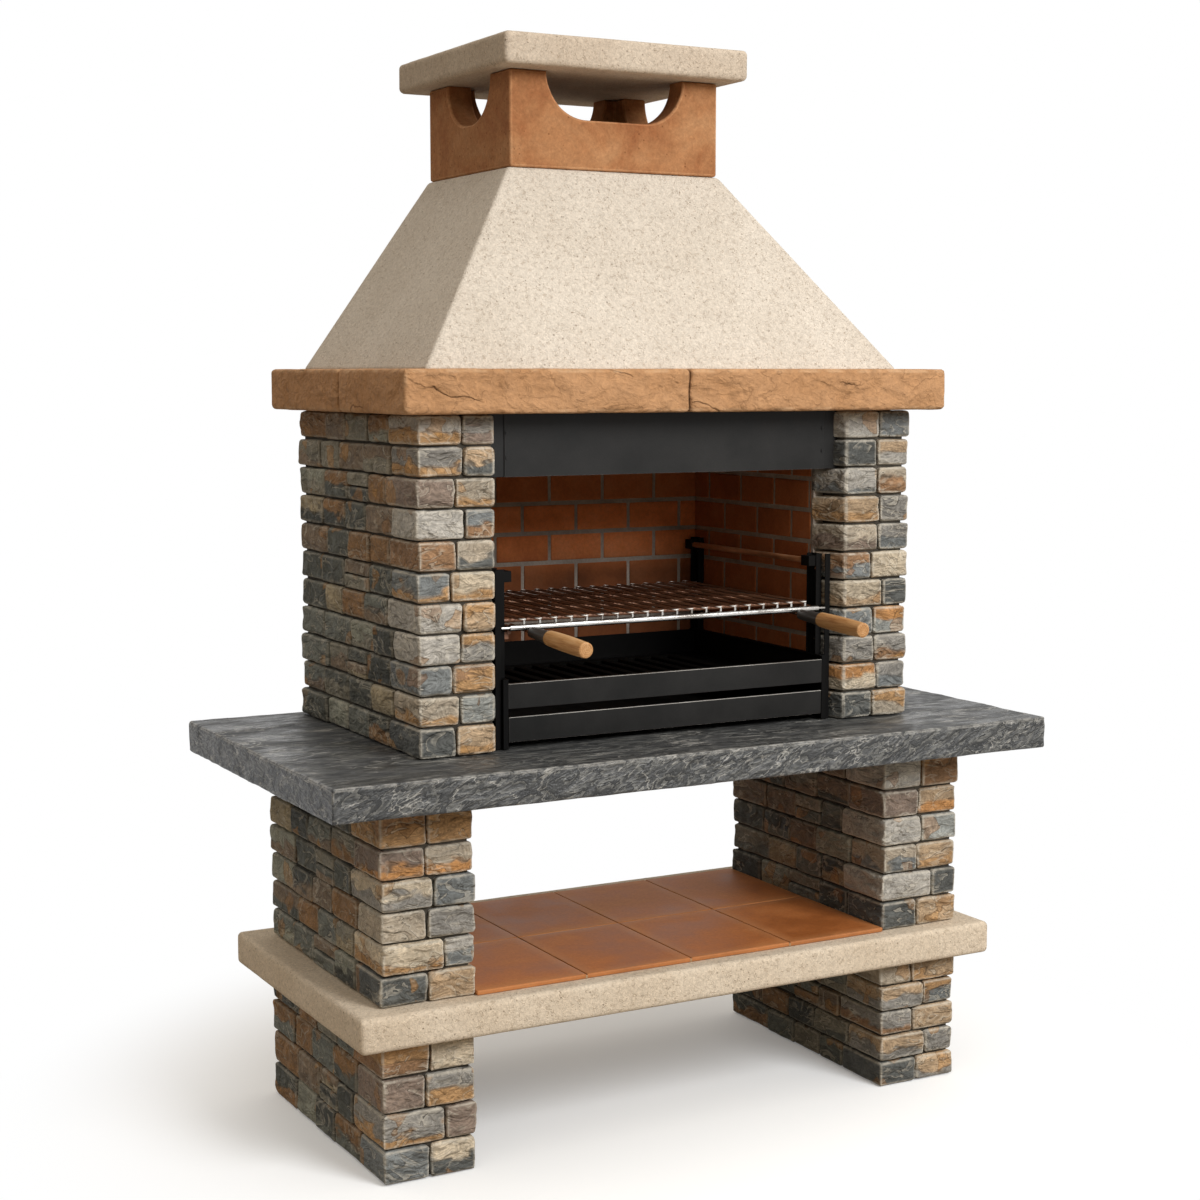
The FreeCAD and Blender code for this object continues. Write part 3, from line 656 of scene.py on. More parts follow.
steelFinish = {
    "blackSteel": {"dark": "0F0F0E", "light": "242322", "rough": (0.36, 0.5), "shine": 0.18},
    "sootedSteel": {"dark": "060606", "light": "100F0E", "rough": (0.5, 0.7), "shine": 0.08},
    # pale lips and hems: bare steel and a painted highlight
    "wornLip": {"dark": "8A8781", "light": "C4C1BB", "rough": (0.3, 0.45), "shine": 0.3, "facing": 1},
    "wornHem": {"dark": "8A8781", "light": "B4B1AB", "rough": (0.3, 0.45), "shine": 0.3, "facing": -1},
    "gunmetal": {"dark": "2C2B2A", "light": "4C4A48", "rough": (0.26, 0.38), "shine": 0.45},
    "castIron": {"dark": "050504", "light": "0E0D0B", "rough": (0.7, 0.85), "shine": 0.05},
}


def makeSteel(name):
    look = steelFinish[name]
    newFinish(name)
    spot = place()
    haze = speckle(spot, 5, 5, 0.6)
    colour = twoTones(haze, look["dark"], look["light"], 0.3, 0.7)
    peel = speckle(spot, 300, 4, 0.6)
    colour = shaded(colour, peel, 0.85, 1.15)
    if "facing" in look:
        # only the bevel faces that point up on a lip, and down on a hem, are pale: wear and a painted
        # highlight
        upward = wayOut()["Z"]
        paleEdge = span(upward, 0.2 * look["facing"], 0.5 * look["facing"])
        colour = blendColours(paleEdge, tint(steelFinish["blackSteel"]["light"]), colour)
    bump = relief((peel, 0.4, 0.35))
    return textured(colour, span(haze, 0.3, 0.7, *look["rough"]), bump, look["shine"])


chromeFinish = {"bright": "D8D6D2", "dull": "8F8880"}


def makeChrome():
    newFinish("brightChrome")
    heat = speckle(place(), 12, 4)
    colour = twoTones(heat, chromeFinish["bright"], chromeFinish["dull"], 0.4, 0.72)
    scuff = speckle(place((1, 8, 1)), 90, 4)
    return dressed(colour, span(scuff, 0.3, 0.7, 0.14, 0.3), Metallic=1.0)


wireFinish = {"burnt": "5E3E2C", "grease": "76503A", "warm": "8C644B", "bright": "E4E0DA", "ends": 15 * mm}


def makeWire():
    # browned by heat and fat, with bright plating on the bends, partly clean and partly a painted highlight,
    # and painted glints in places
    newFinish("greasedWire")
    grime = speckle(place((1, 0.3, 1)), 16, 3, 0.6, 0.3)
    # the brightest tone is a painted glint
    tones = ((0.36, "burnt"), (0.5, "grease"), (0.7, "warm"), (0.86, "bright"))
    colour = ramp(grime, [(position, tint(wireFinish[tone])) for position, tone in tones])
    spot = place()
    depth = axesOf(spot)["Y"]
    nearEnd, farEnd = (corner.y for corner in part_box("grate_wires"))
    nearCleanAndGlint = span(depth, nearEnd + wireFinish["ends"], nearEnd, 0, 0.9)
    cleanAndGlint = larger(nearCleanAndGlint, span(depth, farEnd - wireFinish["ends"], farEnd, 0, 0.9))
    colour = stained(colour, cleanAndGlint, wireFinish["bright"])
    rough = span(speckle(spot, 120, 4), 0.3, 0.7, 0.4, 0.56)
    return dressed(colour, rough, Metallic=0.3)


rodFinish = {"deep": "8A5B3D", "base": "B27C57", "pale": "CF9B73"}


def makeRod():
    newFinish("brownedRod")
    grime = speckle(place((1, 0.2, 1)), 30, 4, 0.6)
    colour = threeTones(grime, rodFinish, 0.3, 0.5, 0.7)
    rough = span(speckle(place(), 90, 4), 0.3, 0.7, 0.3, 0.5)
    return dressed(colour, rough, Metallic=0.3)


woodFinish = {
    "deep": "9C6A3F", "base": "BF915F", "pale": "D2AD81", "ringTone": "8A5A33", "ring": 4 * mm,
    "waver": 6 * mm,
}


def makeWood():
    newFinish("turnedWood")
    along = place((1, 0.05, 1))
    fibres = speckle(along, 300, 5, 0.65, 0.4)
    broad = speckle(along, 70, 4, 0.6, 0.5)
    tone = plus(times(fibres, 0.55), times(broad, 0.45))
    colour = threeTones(tone, woodFinish, 0.36, 0.5, 0.66)
    # growth rings on the ends
    low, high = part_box("handle_grips")
    radius = (high.z - low.z) / 2
    axes = axesOf(place())
    aside = minus(sizeOf(axes["X"]), high.x - radius)
    above = minus(axes["Z"], (low.z + high.z) / 2)
    out = add("CombineXYZ", {"X": aside, "Y": above}).outputs[0]
    distance = add("VectorMath", {0: out}, operation="LENGTH").outputs["Value"]
    rings = steps(plus(distance, times(broad, woodFinish["waver"])), 1 / woodFinish["ring"])
    normal = wayOut()["Y"]
    ends = span(sizeOf(normal), 0.8, 0.95)
    colour = stained(colour, ends, woodFinish["ringTone"], span(rings, 0.4, 1.0, 0, 0.6))
    bump = relief((fibres, 0.5, 0.4))
    return textured(colour, span(fibres, 0.3, 0.7, 0.45, 0.62), bump, 0.3)


finishOf = {
    "split_stone": makeStone(), "core_concrete": makeMortar("jointMortar"),
    "cream_concrete": makeCream("hoodCream"), "slate": makeSlate(), "terracotta_tile": makeTile(),
    "grout": makeMortar("liningMortar"), "firebrick": makeBrick(), "mantel_stone": makeMantel(),
    "collar_terracotta": makeCollar("collarTerracotta"), "black_steel": makeSteel("blackSteel"),
    "cast_iron": makeSteel("castIron"), "chrome": makeChrome(), "handle_wood": makeWood(),
}
ownFinish = {
    "chimney_cap": makeCream("capCream"), "shelf_slab": makeCream("shelfCream"),
    "tile_grout": makeMortar("tileGrout"), "firebox_back_panel": makeMortar("panelConcrete"),
    "upper_rods": makeRod(), "handle_ferrules": makeSteel("gunmetal"),
}
uprights = [f"{row}_{side}_upright" for row in ("front", "rear") for side in ("left", "right")]
sootedNodes = (
    *uprights, "front_edge_strips", "base_left_side", "base_right_side", "base_back_plate", "ember_floor",
    "drawer_runners", "rod_end_blocks",
)
wireNodes = ("grate_wires", "grate_frame_bars", "left_carrier_rail", "right_carrier_rail", "carrier_rear_bar")
ownFinish.update(dict.fromkeys(sootedNodes, makeSteel("sootedSteel")))
ownFinish.update(dict.fromkeys(wireNodes, makeWire()))
slotOf = {part["node"]: part["material_slot"] for part in frame["record"]["subparts"]}


def finishFor(node):
    return ownFinish.get(node, finishOf[slotOf[node]])


for node, shape in frame["nodes"].items():
    shape.data.materials.clear()
    shape.data.materials.append(finishFor(node))
print("finishes:", len(finishOf) + len(set(ownFinish.values())))


# Stone piers

tones = {
    "paleGrey": "B3AFA7", "paleBlue": "9DA09C", "grey": "8F8C86", "blueGrey": "7B7F7F", "slate": "5B5D5B",
    "mauve": "89796D", "brown": "967557", "ochre": "B38E64", "orange": "BA8856", "tan": "B79E80",
    "beige": "ADA18F", "cream": "C6B8A1", "dark": "4A4B49",
}
frontTones = {        # top course first, left stone then right stone, upper tone/lower tone
    "left_wall": (
        "paleGrey/ochre grey/mauve", "grey/ochre tan/slate", "mauve beige/ochre",
        "paleGrey blueGrey/brown", "brown beige/slate", "blueGrey/ochre cream/ochre",
        "paleGrey ochre/tan", "paleGrey ochre/grey", "blueGrey brown/ochre", "beige/ochre paleBlue",
        "slate tan/ochre",
    ),
    "right_wall": (
        "paleGrey blueGrey", "slate tan/paleGrey", "paleGrey/blueGrey beige/brown", "tan/ochre grey",
        "beige/mauve grey/blueGrey", "brown/blueGrey cream", "cream/tan slate",
        "blueGrey orange/paleBlue", "grey grey/brown", "orange/cream grey/blueGrey", "slate ochre/beige",
    ),
    "left_upper_leg": (
        "brown/ochre ochre", "mauve/orange beige/orange", "cream/grey blueGrey", "beige grey",
        "cream/ochre paleGrey/blueGrey", "slate tan",
    ),
    "right_upper_leg": (
        "paleGrey brown", "mauve tan/orange", "paleGrey paleBlue", "beige/blueGrey tan/ochre",
        "paleGrey slate", "slate tan",
    ),
    "left_lower_leg": (
        "ochre/brown cream", "mauve grey/ochre", "grey/ochre mauve", "blueGrey cream/slate",
    ),
    "right_lower_leg": (
        "beige tan/ochre", "tan/grey ochre/blueGrey", "grey/brown tan", "tan/grey grey", "slate tan/grey",
    ),
}
sideTones = (
    "dark", "slate", "slate", "blueGrey", "blueGrey", "brown", "grey", "grey", "mauve", "mauve", "brown",
    "beige", "paleBlue",
)
paintedSideShade = (0.82, 0.8, 0.69)        # painted shade: the side stones are made a little warmer and darker
# painted shade: the stones on the right are a little darker
paintedPierShade = {"right_wall": 0.86, "right_upper_leg": 0.89, "right_lower_leg": 0.9}
stoneShape = {
    "seed": 41, "rim": (0, 2 * mm, 5 * mm, 9 * mm), "step": 8.7 * mm, "depthStep": 60 * mm,
    "bedGap": 1.2 * mm, "endGap": 0.9 * mm, "proud": 2.5 * mm, "sunk": 3.5 * mm, "tilt": 2.5 * mm,
    "radius": (9 * mm, 9 * mm, 10 * mm), "corner": 12 * mm, "lowStone": 45 * mm, "lowShare": 0.65,
    "crags": 6.5 * mm, "lumps": (0.066, 0.066, 0.027), "driftSize": 50 * mm, "drift": 12 * mm,
    "terraces": 2.4, "edgeFade": 7 * mm, "chips": 1.3 * mm, "chipSize": 17 * mm, "wobble": 1.4 * mm,
    "wobbleSize": 35 * mm, "rimAt": 2.5 * mm, "rimWidth": 3.5 * mm, "turned": (0.6, 1.2),
    "unevenEdge": 0.3, "unevenSize": 30 * mm, "lowerTone": (0.36, 0.56),
}
returnShape = {        # stone that covers the edge of the lining
    "inset": 31 * mm, "depth": 96 * mm, "back": 3 * mm, "fade": 20 * mm, "reach": 9 * mm,
    "overlap": 2 * mm,
}
mortarShape = {
    "recess": 12 * mm, "inset": 3 * mm, "rim": (0, 4 * mm), "step": 40 * mm, "edge": 3 * mm,
    "waves": 1.5 * mm, "lumps": 30 * mm,
}


def stoneTones(pier, low, high, pierLow, courses, dice):
    # tones of one stone: listed for the front, drawn at random elsewhere
    if low[1] < pierLow[1] + mm:
        course = courses.index(round(high[2], 3))
        pair = frontTones[pier][course].split()
        words = pair[0 if low[0] < pierLow[0] + mm else 1].split("/")
    else:
        words = [dice.choice(sideTones) for _ in range(dice.choice((1, 2)))]
    level = dice.uniform(*stoneShape["lowerTone"]) if len(words) > 1 else -0.6
    # painted shade on the side stones
    shadeTint = (1, 1, 1) if low[1] < pierLow[1] + mm else paintedSideShade
    # the right-hand piers are darkened: painted shade
    shade = paintedPierShade.get(pier, 1.0)
    ends = (words[0], words[-1])
    upper, lower = ([c * w * shade for c, w in zip(tint(tones[word]), shadeTint)] for word in ends)
    return upper + [1.0], lower + [level]


def roundPlane(points, low, high, radius, across):
    # corners of a block's outline rounded in the plane of one sideways axis and Z
    plane = points[:, (across, 2)]
    core = np.clip(plane, low[[across, 2]] + radius, high[[across, 2]] - radius)
    away = plane - core
    length = np.linalg.norm(away, axis=1, keepdims=True)
    corner = np.abs(away).min(1) > 1e-9
    share = np.minimum(1, radius / np.maximum(length, 1e-9))
    points = points.copy()
    points[:, (across, 2)] = np.where(corner[:, None], core + away * share, plane)
    return points


def splitFace(spot):
    # height of a split face, from -1 to 1: lumps cut into ledges
    drift = np.stack([softNoise(spot, stoneShape["driftSize"], 20 + axis) for axis in range(3)], 1)
    height = layeredNoise(spot + drift * stoneShape["drift"], stoneShape["lumps"], 0, 3) * 1.6
    terraced = height * stoneShape["terraces"]
    share = terraced - np.floor(terraced)
    terraced = (np.floor(terraced) + np.clip((share - 0.5) * 3 + 0.5, 0, 1)) / stoneShape["terraces"]
    return np.clip(0.35 * height + 0.65 * terraced, -1, 1)


def oneStone(low, high, pierLow, pierHigh, upper, lower, inside, dice):
    low, high = low.copy(), high.copy()
    small = stoneShape["lowShare"] if high[2] - low[2] < stoneShape["lowStone"] else 1.0
    front = float(low[1] < pierLow[1] + mm)
    shown = []
    for axis in range(3):        # joints between stones, and faces that stand a little proud or sunk
        gap = (stoneShape["bedGap"] if axis == 2 else stoneShape["endGap"]) * small
        for corner, end, way in ((low, pierLow, -1), (high, pierHigh, 1)):
            outer = axis < 2 and abs(corner[axis] - end[axis]) < mm
            if outer:
                shown.append(axis)
            free = outer and way * inside <= 0
            move = dice.uniform(-stoneShape["sunk"], stoneShape["proud"]) if free else -gap
            if axis == 2 and way < 0 and abs(corner[2] - pierLow[2]) < mm:
                move = 0        # the lowest course stands on what carries it
            corner[axis] += way * move
    lineSteps = [stoneShape["depthStep"] if shown == [axis] else stoneShape["step"] for axis in range(3)]
    lines = [cutLines(low[a], high[a], stoneShape["rim"], lineSteps[a]) for a in range(3)]
    flank, pierFlank = (low, pierLow) if inside < 0 else (high, pierHigh)
    turns = inside and front and abs(flank[0] - pierFlank[0]) < returnShape["reach"]
    if turns:
        lines[1] = np.union1d(lines[1], low[1] + returnShape["depth"] + np.array((0, returnShape["back"])))
    points, quads = latticeSkin(*lines)
    inner = edgeDistance(points, low, high)
    rise = (points[:, 2] - low[2]) / (high[2] - low[2])
    spot = points + np.array([dice.uniform(0, 9) for _ in range(3)])
    corner = stoneShape["corner"] * small
    rounded = roundPlane(points, low, high, corner * dice.uniform(*stoneShape["turned"]), 0)
    rounded = roundPlane(rounded, low, high, corner * dice.uniform(*stoneShape["turned"]), 1)
    radius = np.array(stoneShape["radius"]) * small
    uneven = 1.0 + stoneShape["unevenEdge"] * softNoise(spot, stoneShape["unevenSize"])
    shaped, way = roundedOut(rounded / radius, low / radius, high / radius, uneven)
    shaped = shaped * radius
    way = way / radius
    way /= np.maximum(np.linalg.norm(way, axis=1, keepdims=True), 1e-9)
    faceOut = np.linalg.norm(way[:, :2], axis=1) ** 2
    height = splitFace(spot)
    fade = np.clip(inner / stoneShape["edgeFade"], 0.25, 1)
    lump = (0.5 * height - 0.15) * stoneShape["crags"] * faceOut * fade
    lump += stoneShape["chips"] * softNoise(spot, stoneShape["chipSize"], 7) * faceOut
    lump += stoneShape["wobble"] * (softNoise(spot, stoneShape["wobbleSize"], 9) - 0.6) * (1 - faceOut)
    lump += dice.uniform(-1, 1) * stoneShape["tilt"] * (rise - 0.5) * faceOut
    near = np.clip(1 - np.abs(points[:, 0] - flank[0]) / returnShape["fade"], 0, 1) * bool(turns)
    shaped = shaped + way * (lump * (1 - near * (np.abs(way[:, 0]) > 0.9)))[:, None]
    if turns:        # the inner side slopes in to cover the edge of the lining
        back = points[:, 1] - low[1]
        slope = np.where(back <= returnShape["depth"] + 1e-6, back / returnShape["depth"], 0)
        shaped[:, 0] += inside * returnShape["inset"] * slope * near
    shades = {
        "upperTone": np.tile(upper, (len(points), 1)), "lowerTone": np.tile(lower, (len(points), 1)),
        "seed": np.full(len(points), dice.random()), "rise": rise, "lift": 0.5 + 0.5 * height,
        "rim": np.clip(1 - np.abs(inner - stoneShape["rimAt"]) / stoneShape["rimWidth"], 0, 1),
        "front": np.full(len(points), front),
    }
    return shaped, quads, shades


def buildPier(pier, inside):
    # inside is the side of the pier that faces the firebox: -1, 1 or 0 for none
    dice = random.Random(f"{pier}{stoneShape['seed']}")
    node = pier + "_stones"
    low, high = corners(node)
    boxes = solidBoxes(node)
    courses = sorted({round(b[1][2], 3) for b in boxes if b[0][1] < low[1] + mm}, reverse=True)
    stones = []
    for stoneLow, stoneHigh in boxes:
        upper, lower = stoneTones(pier, stoneLow, stoneHigh, low, courses, dice)
        stones.append(oneStone(stoneLow, stoneHigh, low, high, upper, lower, inside, dice))
    label = camelName(pier)
    points, quads, shades = gathered(stones)
    points[:, 2] = np.clip(points[:, 2], low[2], high[2])
    meshPiece(label + "Stones", points, quads, node, shades=shades)
    recess, inset = mortarShape["recess"], mortarShape["inset"]
    low += (inset if inside < 0 else recess, recess, inset)
    high -= (inset if inside > 0 else recess, recess, inset)
    points, quads = boxSkin(low, high, mortarShape["rim"], mortarShape["step"])
    shaped, way = roundedOut(points, low, high, mortarShape["edge"])
    shaped = shaped - way * np.abs(mortarShape["waves"] * softNoise(points, mortarShape["lumps"]))[:, None]
    meshPiece(label + "Mortar", shaped, quads, pier + "_core")
    print(label, len(boxes), "stones")


for pier in ("left_lower_leg", "right_lower_leg", "left_upper_leg", "right_upper_leg"):
    buildPier(pier, 0)
buildPier("left_wall", 1)
buildPier("right_wall", -1)


# Slabs

def buildSlab(name, node, look):
    low, high = corners(node)
    points, quads = boxSkin(low, high, look["rim"], look["step"])
    radius = look["radius"] * (1 + look["unevenEdge"] * layeredNoise(points, 0.05, 2))
    shaped, way = roundedOut(points, low, high, radius)
    upright = np.clip(1.4 * np.linalg.norm(way[:, :2], axis=1) - 0.4, 0, 1)
    depth = look["sides"] * unitNoise(points, look["lumps"], 5) * upright
    depth += look["faces"] * unitNoise(points, look["ripples"], 9) * (1 - upright)
    inner = edgeDistance(points, low, high)
    upper = points[:, 2] > (low[2] + high[2]) / 2
    chip = np.clip(1 - np.abs(inner - look["chipAt"]) / look["chipAt"], 0, 1) * upper
    meshPiece(name, shaped - way * depth[:, None], quads, node, shades={"chip": chip})
    print(name)


worktopLook = {
    "rim": (0, 3 * mm, 6 * mm, 10 * mm, 15 * mm, 22 * mm), "step": 13 * mm, "radius": 9 * mm,
    "unevenEdge": 0.5, "sides": 7 * mm, "lumps": (0.055, 0.055, 0.03), "faces": 2.2 * mm,
    "ripples": (0.2, 0.03, 0.05), "chipAt": 4 * mm,
}
shelfLook = {
    "rim": (0, 3 * mm, 6 * mm, 10 * mm, 16 * mm), "step": 22 * mm, "radius": 13 * mm, "unevenEdge": 0.12,
    "sides": 1.2 * mm, "lumps": 0.05, "faces": 0.8 * mm, "ripples": 0.08, "chipAt": 4 * mm,
}
capLook = {**shelfLook, "rim": (0, 3 * mm, 7 * mm, 12 * mm, 18 * mm), "step": 18 * mm, "unevenEdge": 0.14}
buildSlab("worktop", "worktop_slab", worktopLook)
buildSlab("shelf", "shelf_slab", shelfLook)
buildSlab("chimneyCap", "chimney_cap", capLook)


# Bricks and tiles

def buildBlocks(node, look, smoke=0.0, front=None):
    # front is where the side linings begin, behind the stone that covers their edge
    name = camelName(node)
    dice = random.Random(name)
    lowest, highest = corners(node)
    blocks = []
    for low, high in solidBoxes(node):
        low = np.maximum(low - np.array(look["grow"]), lowest)
        high = np.minimum(high + np.array(look["grow"]), highest)
        if front is not None:
            low[1] = max(low[1], front)
        points, quads = boxSkin(low, high, look["rim"], look["step"])
        spot = points + np.array([dice.uniform(0, 9) for _ in range(3)])
        uneven = 1 + look["unevenEdge"] * softNoise(spot, look["unevenSize"])
        shaped, way = roundedOut(points, low, high, look["radius"] * uneven)
        shaped = shaped - way * (look["waves"] * unitNoise(spot, look["lumps"]))[:, None]
        inner = edgeDistance(points, low, high)
        rim = np.clip(1 - np.abs(inner - look["radius"]) / look["radius"], 0, 1)
        shades = {
            "seed": np.full(len(points), dice.random()), "rim": rim, "smoke": np.full(len(points), smoke),
        }
        blocks.append((shaped, quads, shades))
    points, quads, shades = gathered(blocks)
    meshPiece(name, points, quads, node, shades=shades)
    print(name, len(blocks), "blocks")


brickLook = {
    "rim": (0, 2 * mm, 5 * mm), "step": 20 * mm, "radius": 2.5 * mm, "waves": 1.0 * mm, "lumps": 0.04,
    "grow": (1.2 * mm, 1.2 * mm, 0.2 * mm), "start": 10 * mm, "unevenEdge": 0.4, "unevenSize": 20 * mm,
}
tileLook = {
    "rim": (0, 1.5 * mm, 4 * mm), "step": 30 * mm, "radius": 2.5 * mm, "waves": 0.5 * mm, "lumps": 0.12,
    "grow": (0.8 * mm, 0.8 * mm, 0), "unevenEdge": 0.4, "unevenSize": 20 * mm,
}
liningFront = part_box("left_wall_stones")[0].y + returnShape["depth"] - returnShape["overlap"]
buildBlocks("back_firebricks", brickLook)
for side in ("left", "right"):
    # the side linings get the even painted shade
    buildBlocks(side + "_firebricks", brickLook, 1.0, liningFront + brickLook["start"])
buildBlocks("shelf_tiles", tileLook)

jointLook = {
    "recess": 2.0 * mm, "start": 1 * mm, "rim": (0, 2 * mm), "step": 30 * mm, "edge": 1 * mm,
    "waves": 0.8 * mm, "lumps": 30 * mm,
}


def buildJoints(side, axis, towards):
    # mortar bed of one lining wall, filled out between the bricks
    low, high = corners(side + "_mortar_bed")
    low[1] = max(low[1], liningFront - jointLook["start"])
    brickLow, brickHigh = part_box(side + "_firebricks")
    if towards < 0:
        low[axis] = brickLow[axis] + jointLook["recess"]
    else:
        high[axis] = brickHigh[axis] - jointLook["recess"]
    points, quads = boxSkin(low, high, jointLook["rim"], jointLook["step"])
    shaped, way = roundedOut(points, low, high, jointLook["edge"])
    shaped = shaped - way * np.abs(jointLook["waves"] * softNoise(points, jointLook["lumps"]))[:, None]
    meshPiece(side + "LiningMortar", shaped, quads, side + "_mortar_bed")


buildJoints("back", 1, -1)
buildJoints("left", 0, 1)
buildJoints("right", 0, -1)
print("lining mortar")


# Mantel ring

mantelLook = {
    "rim": (0, 2.5 * mm, 6 * mm, 11 * mm, 18 * mm), "step": 12 * mm, "radius": 12 * mm, "unevenEdge": 0.4,
    "split": 8 * mm, "proud": 2.5 * mm, "lumps": (0.13, 0.13, 0.06), "ripples": 2 * mm,
    "jointDip": 5 * mm, "jointWidth": 5 * mm, "jointLine": 4 * mm, "rippleSize": 60 * mm, "rimAt": 4 * mm,
    "rimWidth": 5 * mm,
}
mantelNodes = ("mantel_front_left", "mantel_front_right", "mantel_rear_left", "mantel_rear_right")
ringLow = np.min([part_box(node)[0] for node in mantelNodes], axis=0)
ringHigh = np.max([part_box(node)[1] for node in mantelNodes], axis=0)
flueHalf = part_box("firebox_back_panel")[1][0]


def innerCorner(node):
    # where the two arms of an L-shaped piece meet on the flue side
    low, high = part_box(node)
    ys = [v.co.y for v in frame["nodes"][node].data.vertices if abs(abs(v.co.x) - flueHalf) < 0.2 * mm]
    ys = [y for y in ys if low.y + mm < y < high.y - mm]
    return sum(ys) / len(ys)


def buildMantelPiece(node):
    low, high = corners(node)
    turn = innerCorner(node)
    leftSide, frontRow = low[0] < -flueHalf, "front" in node
    inner = -flueHalf if leftSide else flueHalf
    halves = []
    for axis, stop in ((0, inner), (1, turn)):
        before = cutLines(low[axis], stop, mantelLook["rim"], mantelLook["step"])
        after = cutLines(stop, high[axis], mantelLook["rim"], mantelLook["step"])
        halves.append(np.concatenate((before, after[1:])))
    xs, ys = halves
    zs = cutLines(low[2], high[2], mantelLook["rim"], mantelLook["step"])
    midX, midY = (xs[1:] + xs[:-1]) / 2, (ys[1:] + ys[:-1]) / 2
    sideArm = midX < inner if leftSide else midX > inner
    endArm = midY < turn if frontRow else midY > turn
    filled = np.repeat((sideArm[:, None] | endArm[None, :])[:, :, None], len(zs) - 1, axis=2)
    points, quads = latticeSkin(xs, ys, zs, filled)
    radius = mantelLook["radius"] * (1 + mantelLook["unevenEdge"] * layeredNoise(points, 0.05, 4))
    shaped, way = roundedOut(points, ringLow, ringHigh, radius)
    upright = np.linalg.norm(way[:, :2], axis=1)
    split = unitNoise(points, mantelLook["lumps"], 11, 4)
    depth = (mantelLook["split"] * split - mantelLook["proud"]) * upright
    ripple = unitNoise(points, mantelLook["rippleSize"], 17)
    depth += mantelLook["ripples"] * ripple * (1 - upright) * (way[:, 2] != 0)
    jointX = high[0] if leftSide else low[0]
    jointY = high[1] if frontRow else low[1]
    toJoint = np.minimum(np.abs(points[:, 0] - jointX), np.abs(points[:, 1] - jointY))
    dip = np.exp(-(toJoint / mantelLook["jointWidth"]) ** 2) * (np.abs(way).sum(1) > 0)
    depth += mantelLook["jointDip"] * dip
    shaped = shaped - way * depth[:, None]
    edge = edgeDistance(points, ringLow, ringHigh)
    shades = {
        "joint": np.clip(1 - toJoint / mantelLook["jointLine"], 0, 1),
        "rim": np.clip(1 - np.abs(edge - mantelLook["rimAt"]) / mantelLook["rimWidth"], 0, 1),
    }
    meshPiece(camelName(node), shaped, quads, node, shades=shades)
    print(node, len(points), "points")


for node in mantelNodes:
    buildMantelPiece(node)


# Hood: a hollow shell with sloping front and sides and an upright back

hoodLook = {
    "rim": (0, 3 * mm, 7 * mm, 12 * mm, 20 * mm), "step": 24 * mm, "radius": 9 * mm, "waves": 1.2 * mm,
    "lumps": 0.07, "seat": 4 * mm, "innerRim": (0, 20 * mm),
}


def hoodTop():
    # half width and front edge of the hood's top, and its wall, from the CAD solid
    low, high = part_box("hood")
    spots = [v.co for v in frame["nodes"]["hood"].data.vertices]
    top = [s for s in spots if s.z > high.z - 0.1 * mm]
    floor = [s for s in spots if s.z < low.z + 0.1 * mm]
    wall = high.y - max(s.y for s in floor if s.y < high.y - mm)
    return max(s.x for s in top), min(s.y for s in top), wall


def buildHood():
    low, high = corners("hood")
    topHalf, topFront, wall = hoodTop()
    lines = []
    for axis in (0, 1):
        outerLow = cutLines(low[axis], low[axis] + wall, hoodLook["rim"], hoodLook["step"])
        inner = cutLines(low[axis] + wall, high[axis] - wall, hoodLook["innerRim"], hoodLook["step"])
        outerHigh = cutLines(high[axis] - wall, high[axis], hoodLook["rim"], hoodLook["step"])
        lines.append(np.concatenate((outerLow, inner[1:-1], outerHigh)))
    xs, ys = lines
    zs = cutLines(low[2], high[2], hoodLook["rim"], hoodLook["step"])
    midX, midY = (xs[1:] + xs[:-1]) / 2, (ys[1:] + ys[:-1]) / 2
    solidX = np.abs(midX) > high[0] - wall
    solidY = (midY < low[1] + wall) | (midY > high[1] - wall)
    filled = np.repeat((solidX[:, None] | solidY[None, :])[:, :, None], len(zs) - 1, axis=2)
    points, quads = latticeSkin(xs, ys, zs, filled)
    foot = points[:, 2] < low[2] + 0.01 * mm
    shaped, way = roundedOut(points, low - np.array((0, 0, 0.1)), high, hoodLook["radius"])
    waves = hoodLook["waves"] * unitNoise(points, hoodLook["lumps"])
    shaped = shaped - way * waves[:, None]
    rise = (shaped[:, 2] - low[2]) / (high[2] - low[2])
    half = high[0] + (topHalf - high[0]) * rise
    front = low[1] + (topFront - low[1]) * rise
    fromSide = high[0] - np.abs(shaped[:, 0])
    inX = shaped[:, 0] * (half - wall) / (high[0] - wall)
    x = np.where(fromSide <= wall, np.sign(shaped[:, 0]) * (half - fromSide), inX)
    fromFront = shaped[:, 1] - low[1]
    share = (fromFront - wall) / (high[1] - low[1] - 2 * wall)
    inY = front + wall + share * (high[1] - wall - front - wall)
    inY = np.where(shaped[:, 1] >= high[1] - wall, shaped[:, 1], inY)        # the back stays upright
    y = np.where(fromFront <= wall, front + fromFront, inY)
    z = np.where(foot, low[2] - hoodLook["seat"], shaped[:, 2])
    meshPiece("chimneyHood", np.stack((x, y, z), 1), quads, "hood")
    print("chimneyHood", len(points), "points")


buildHood()


# CAD pieces that keep their shape, with eased edges

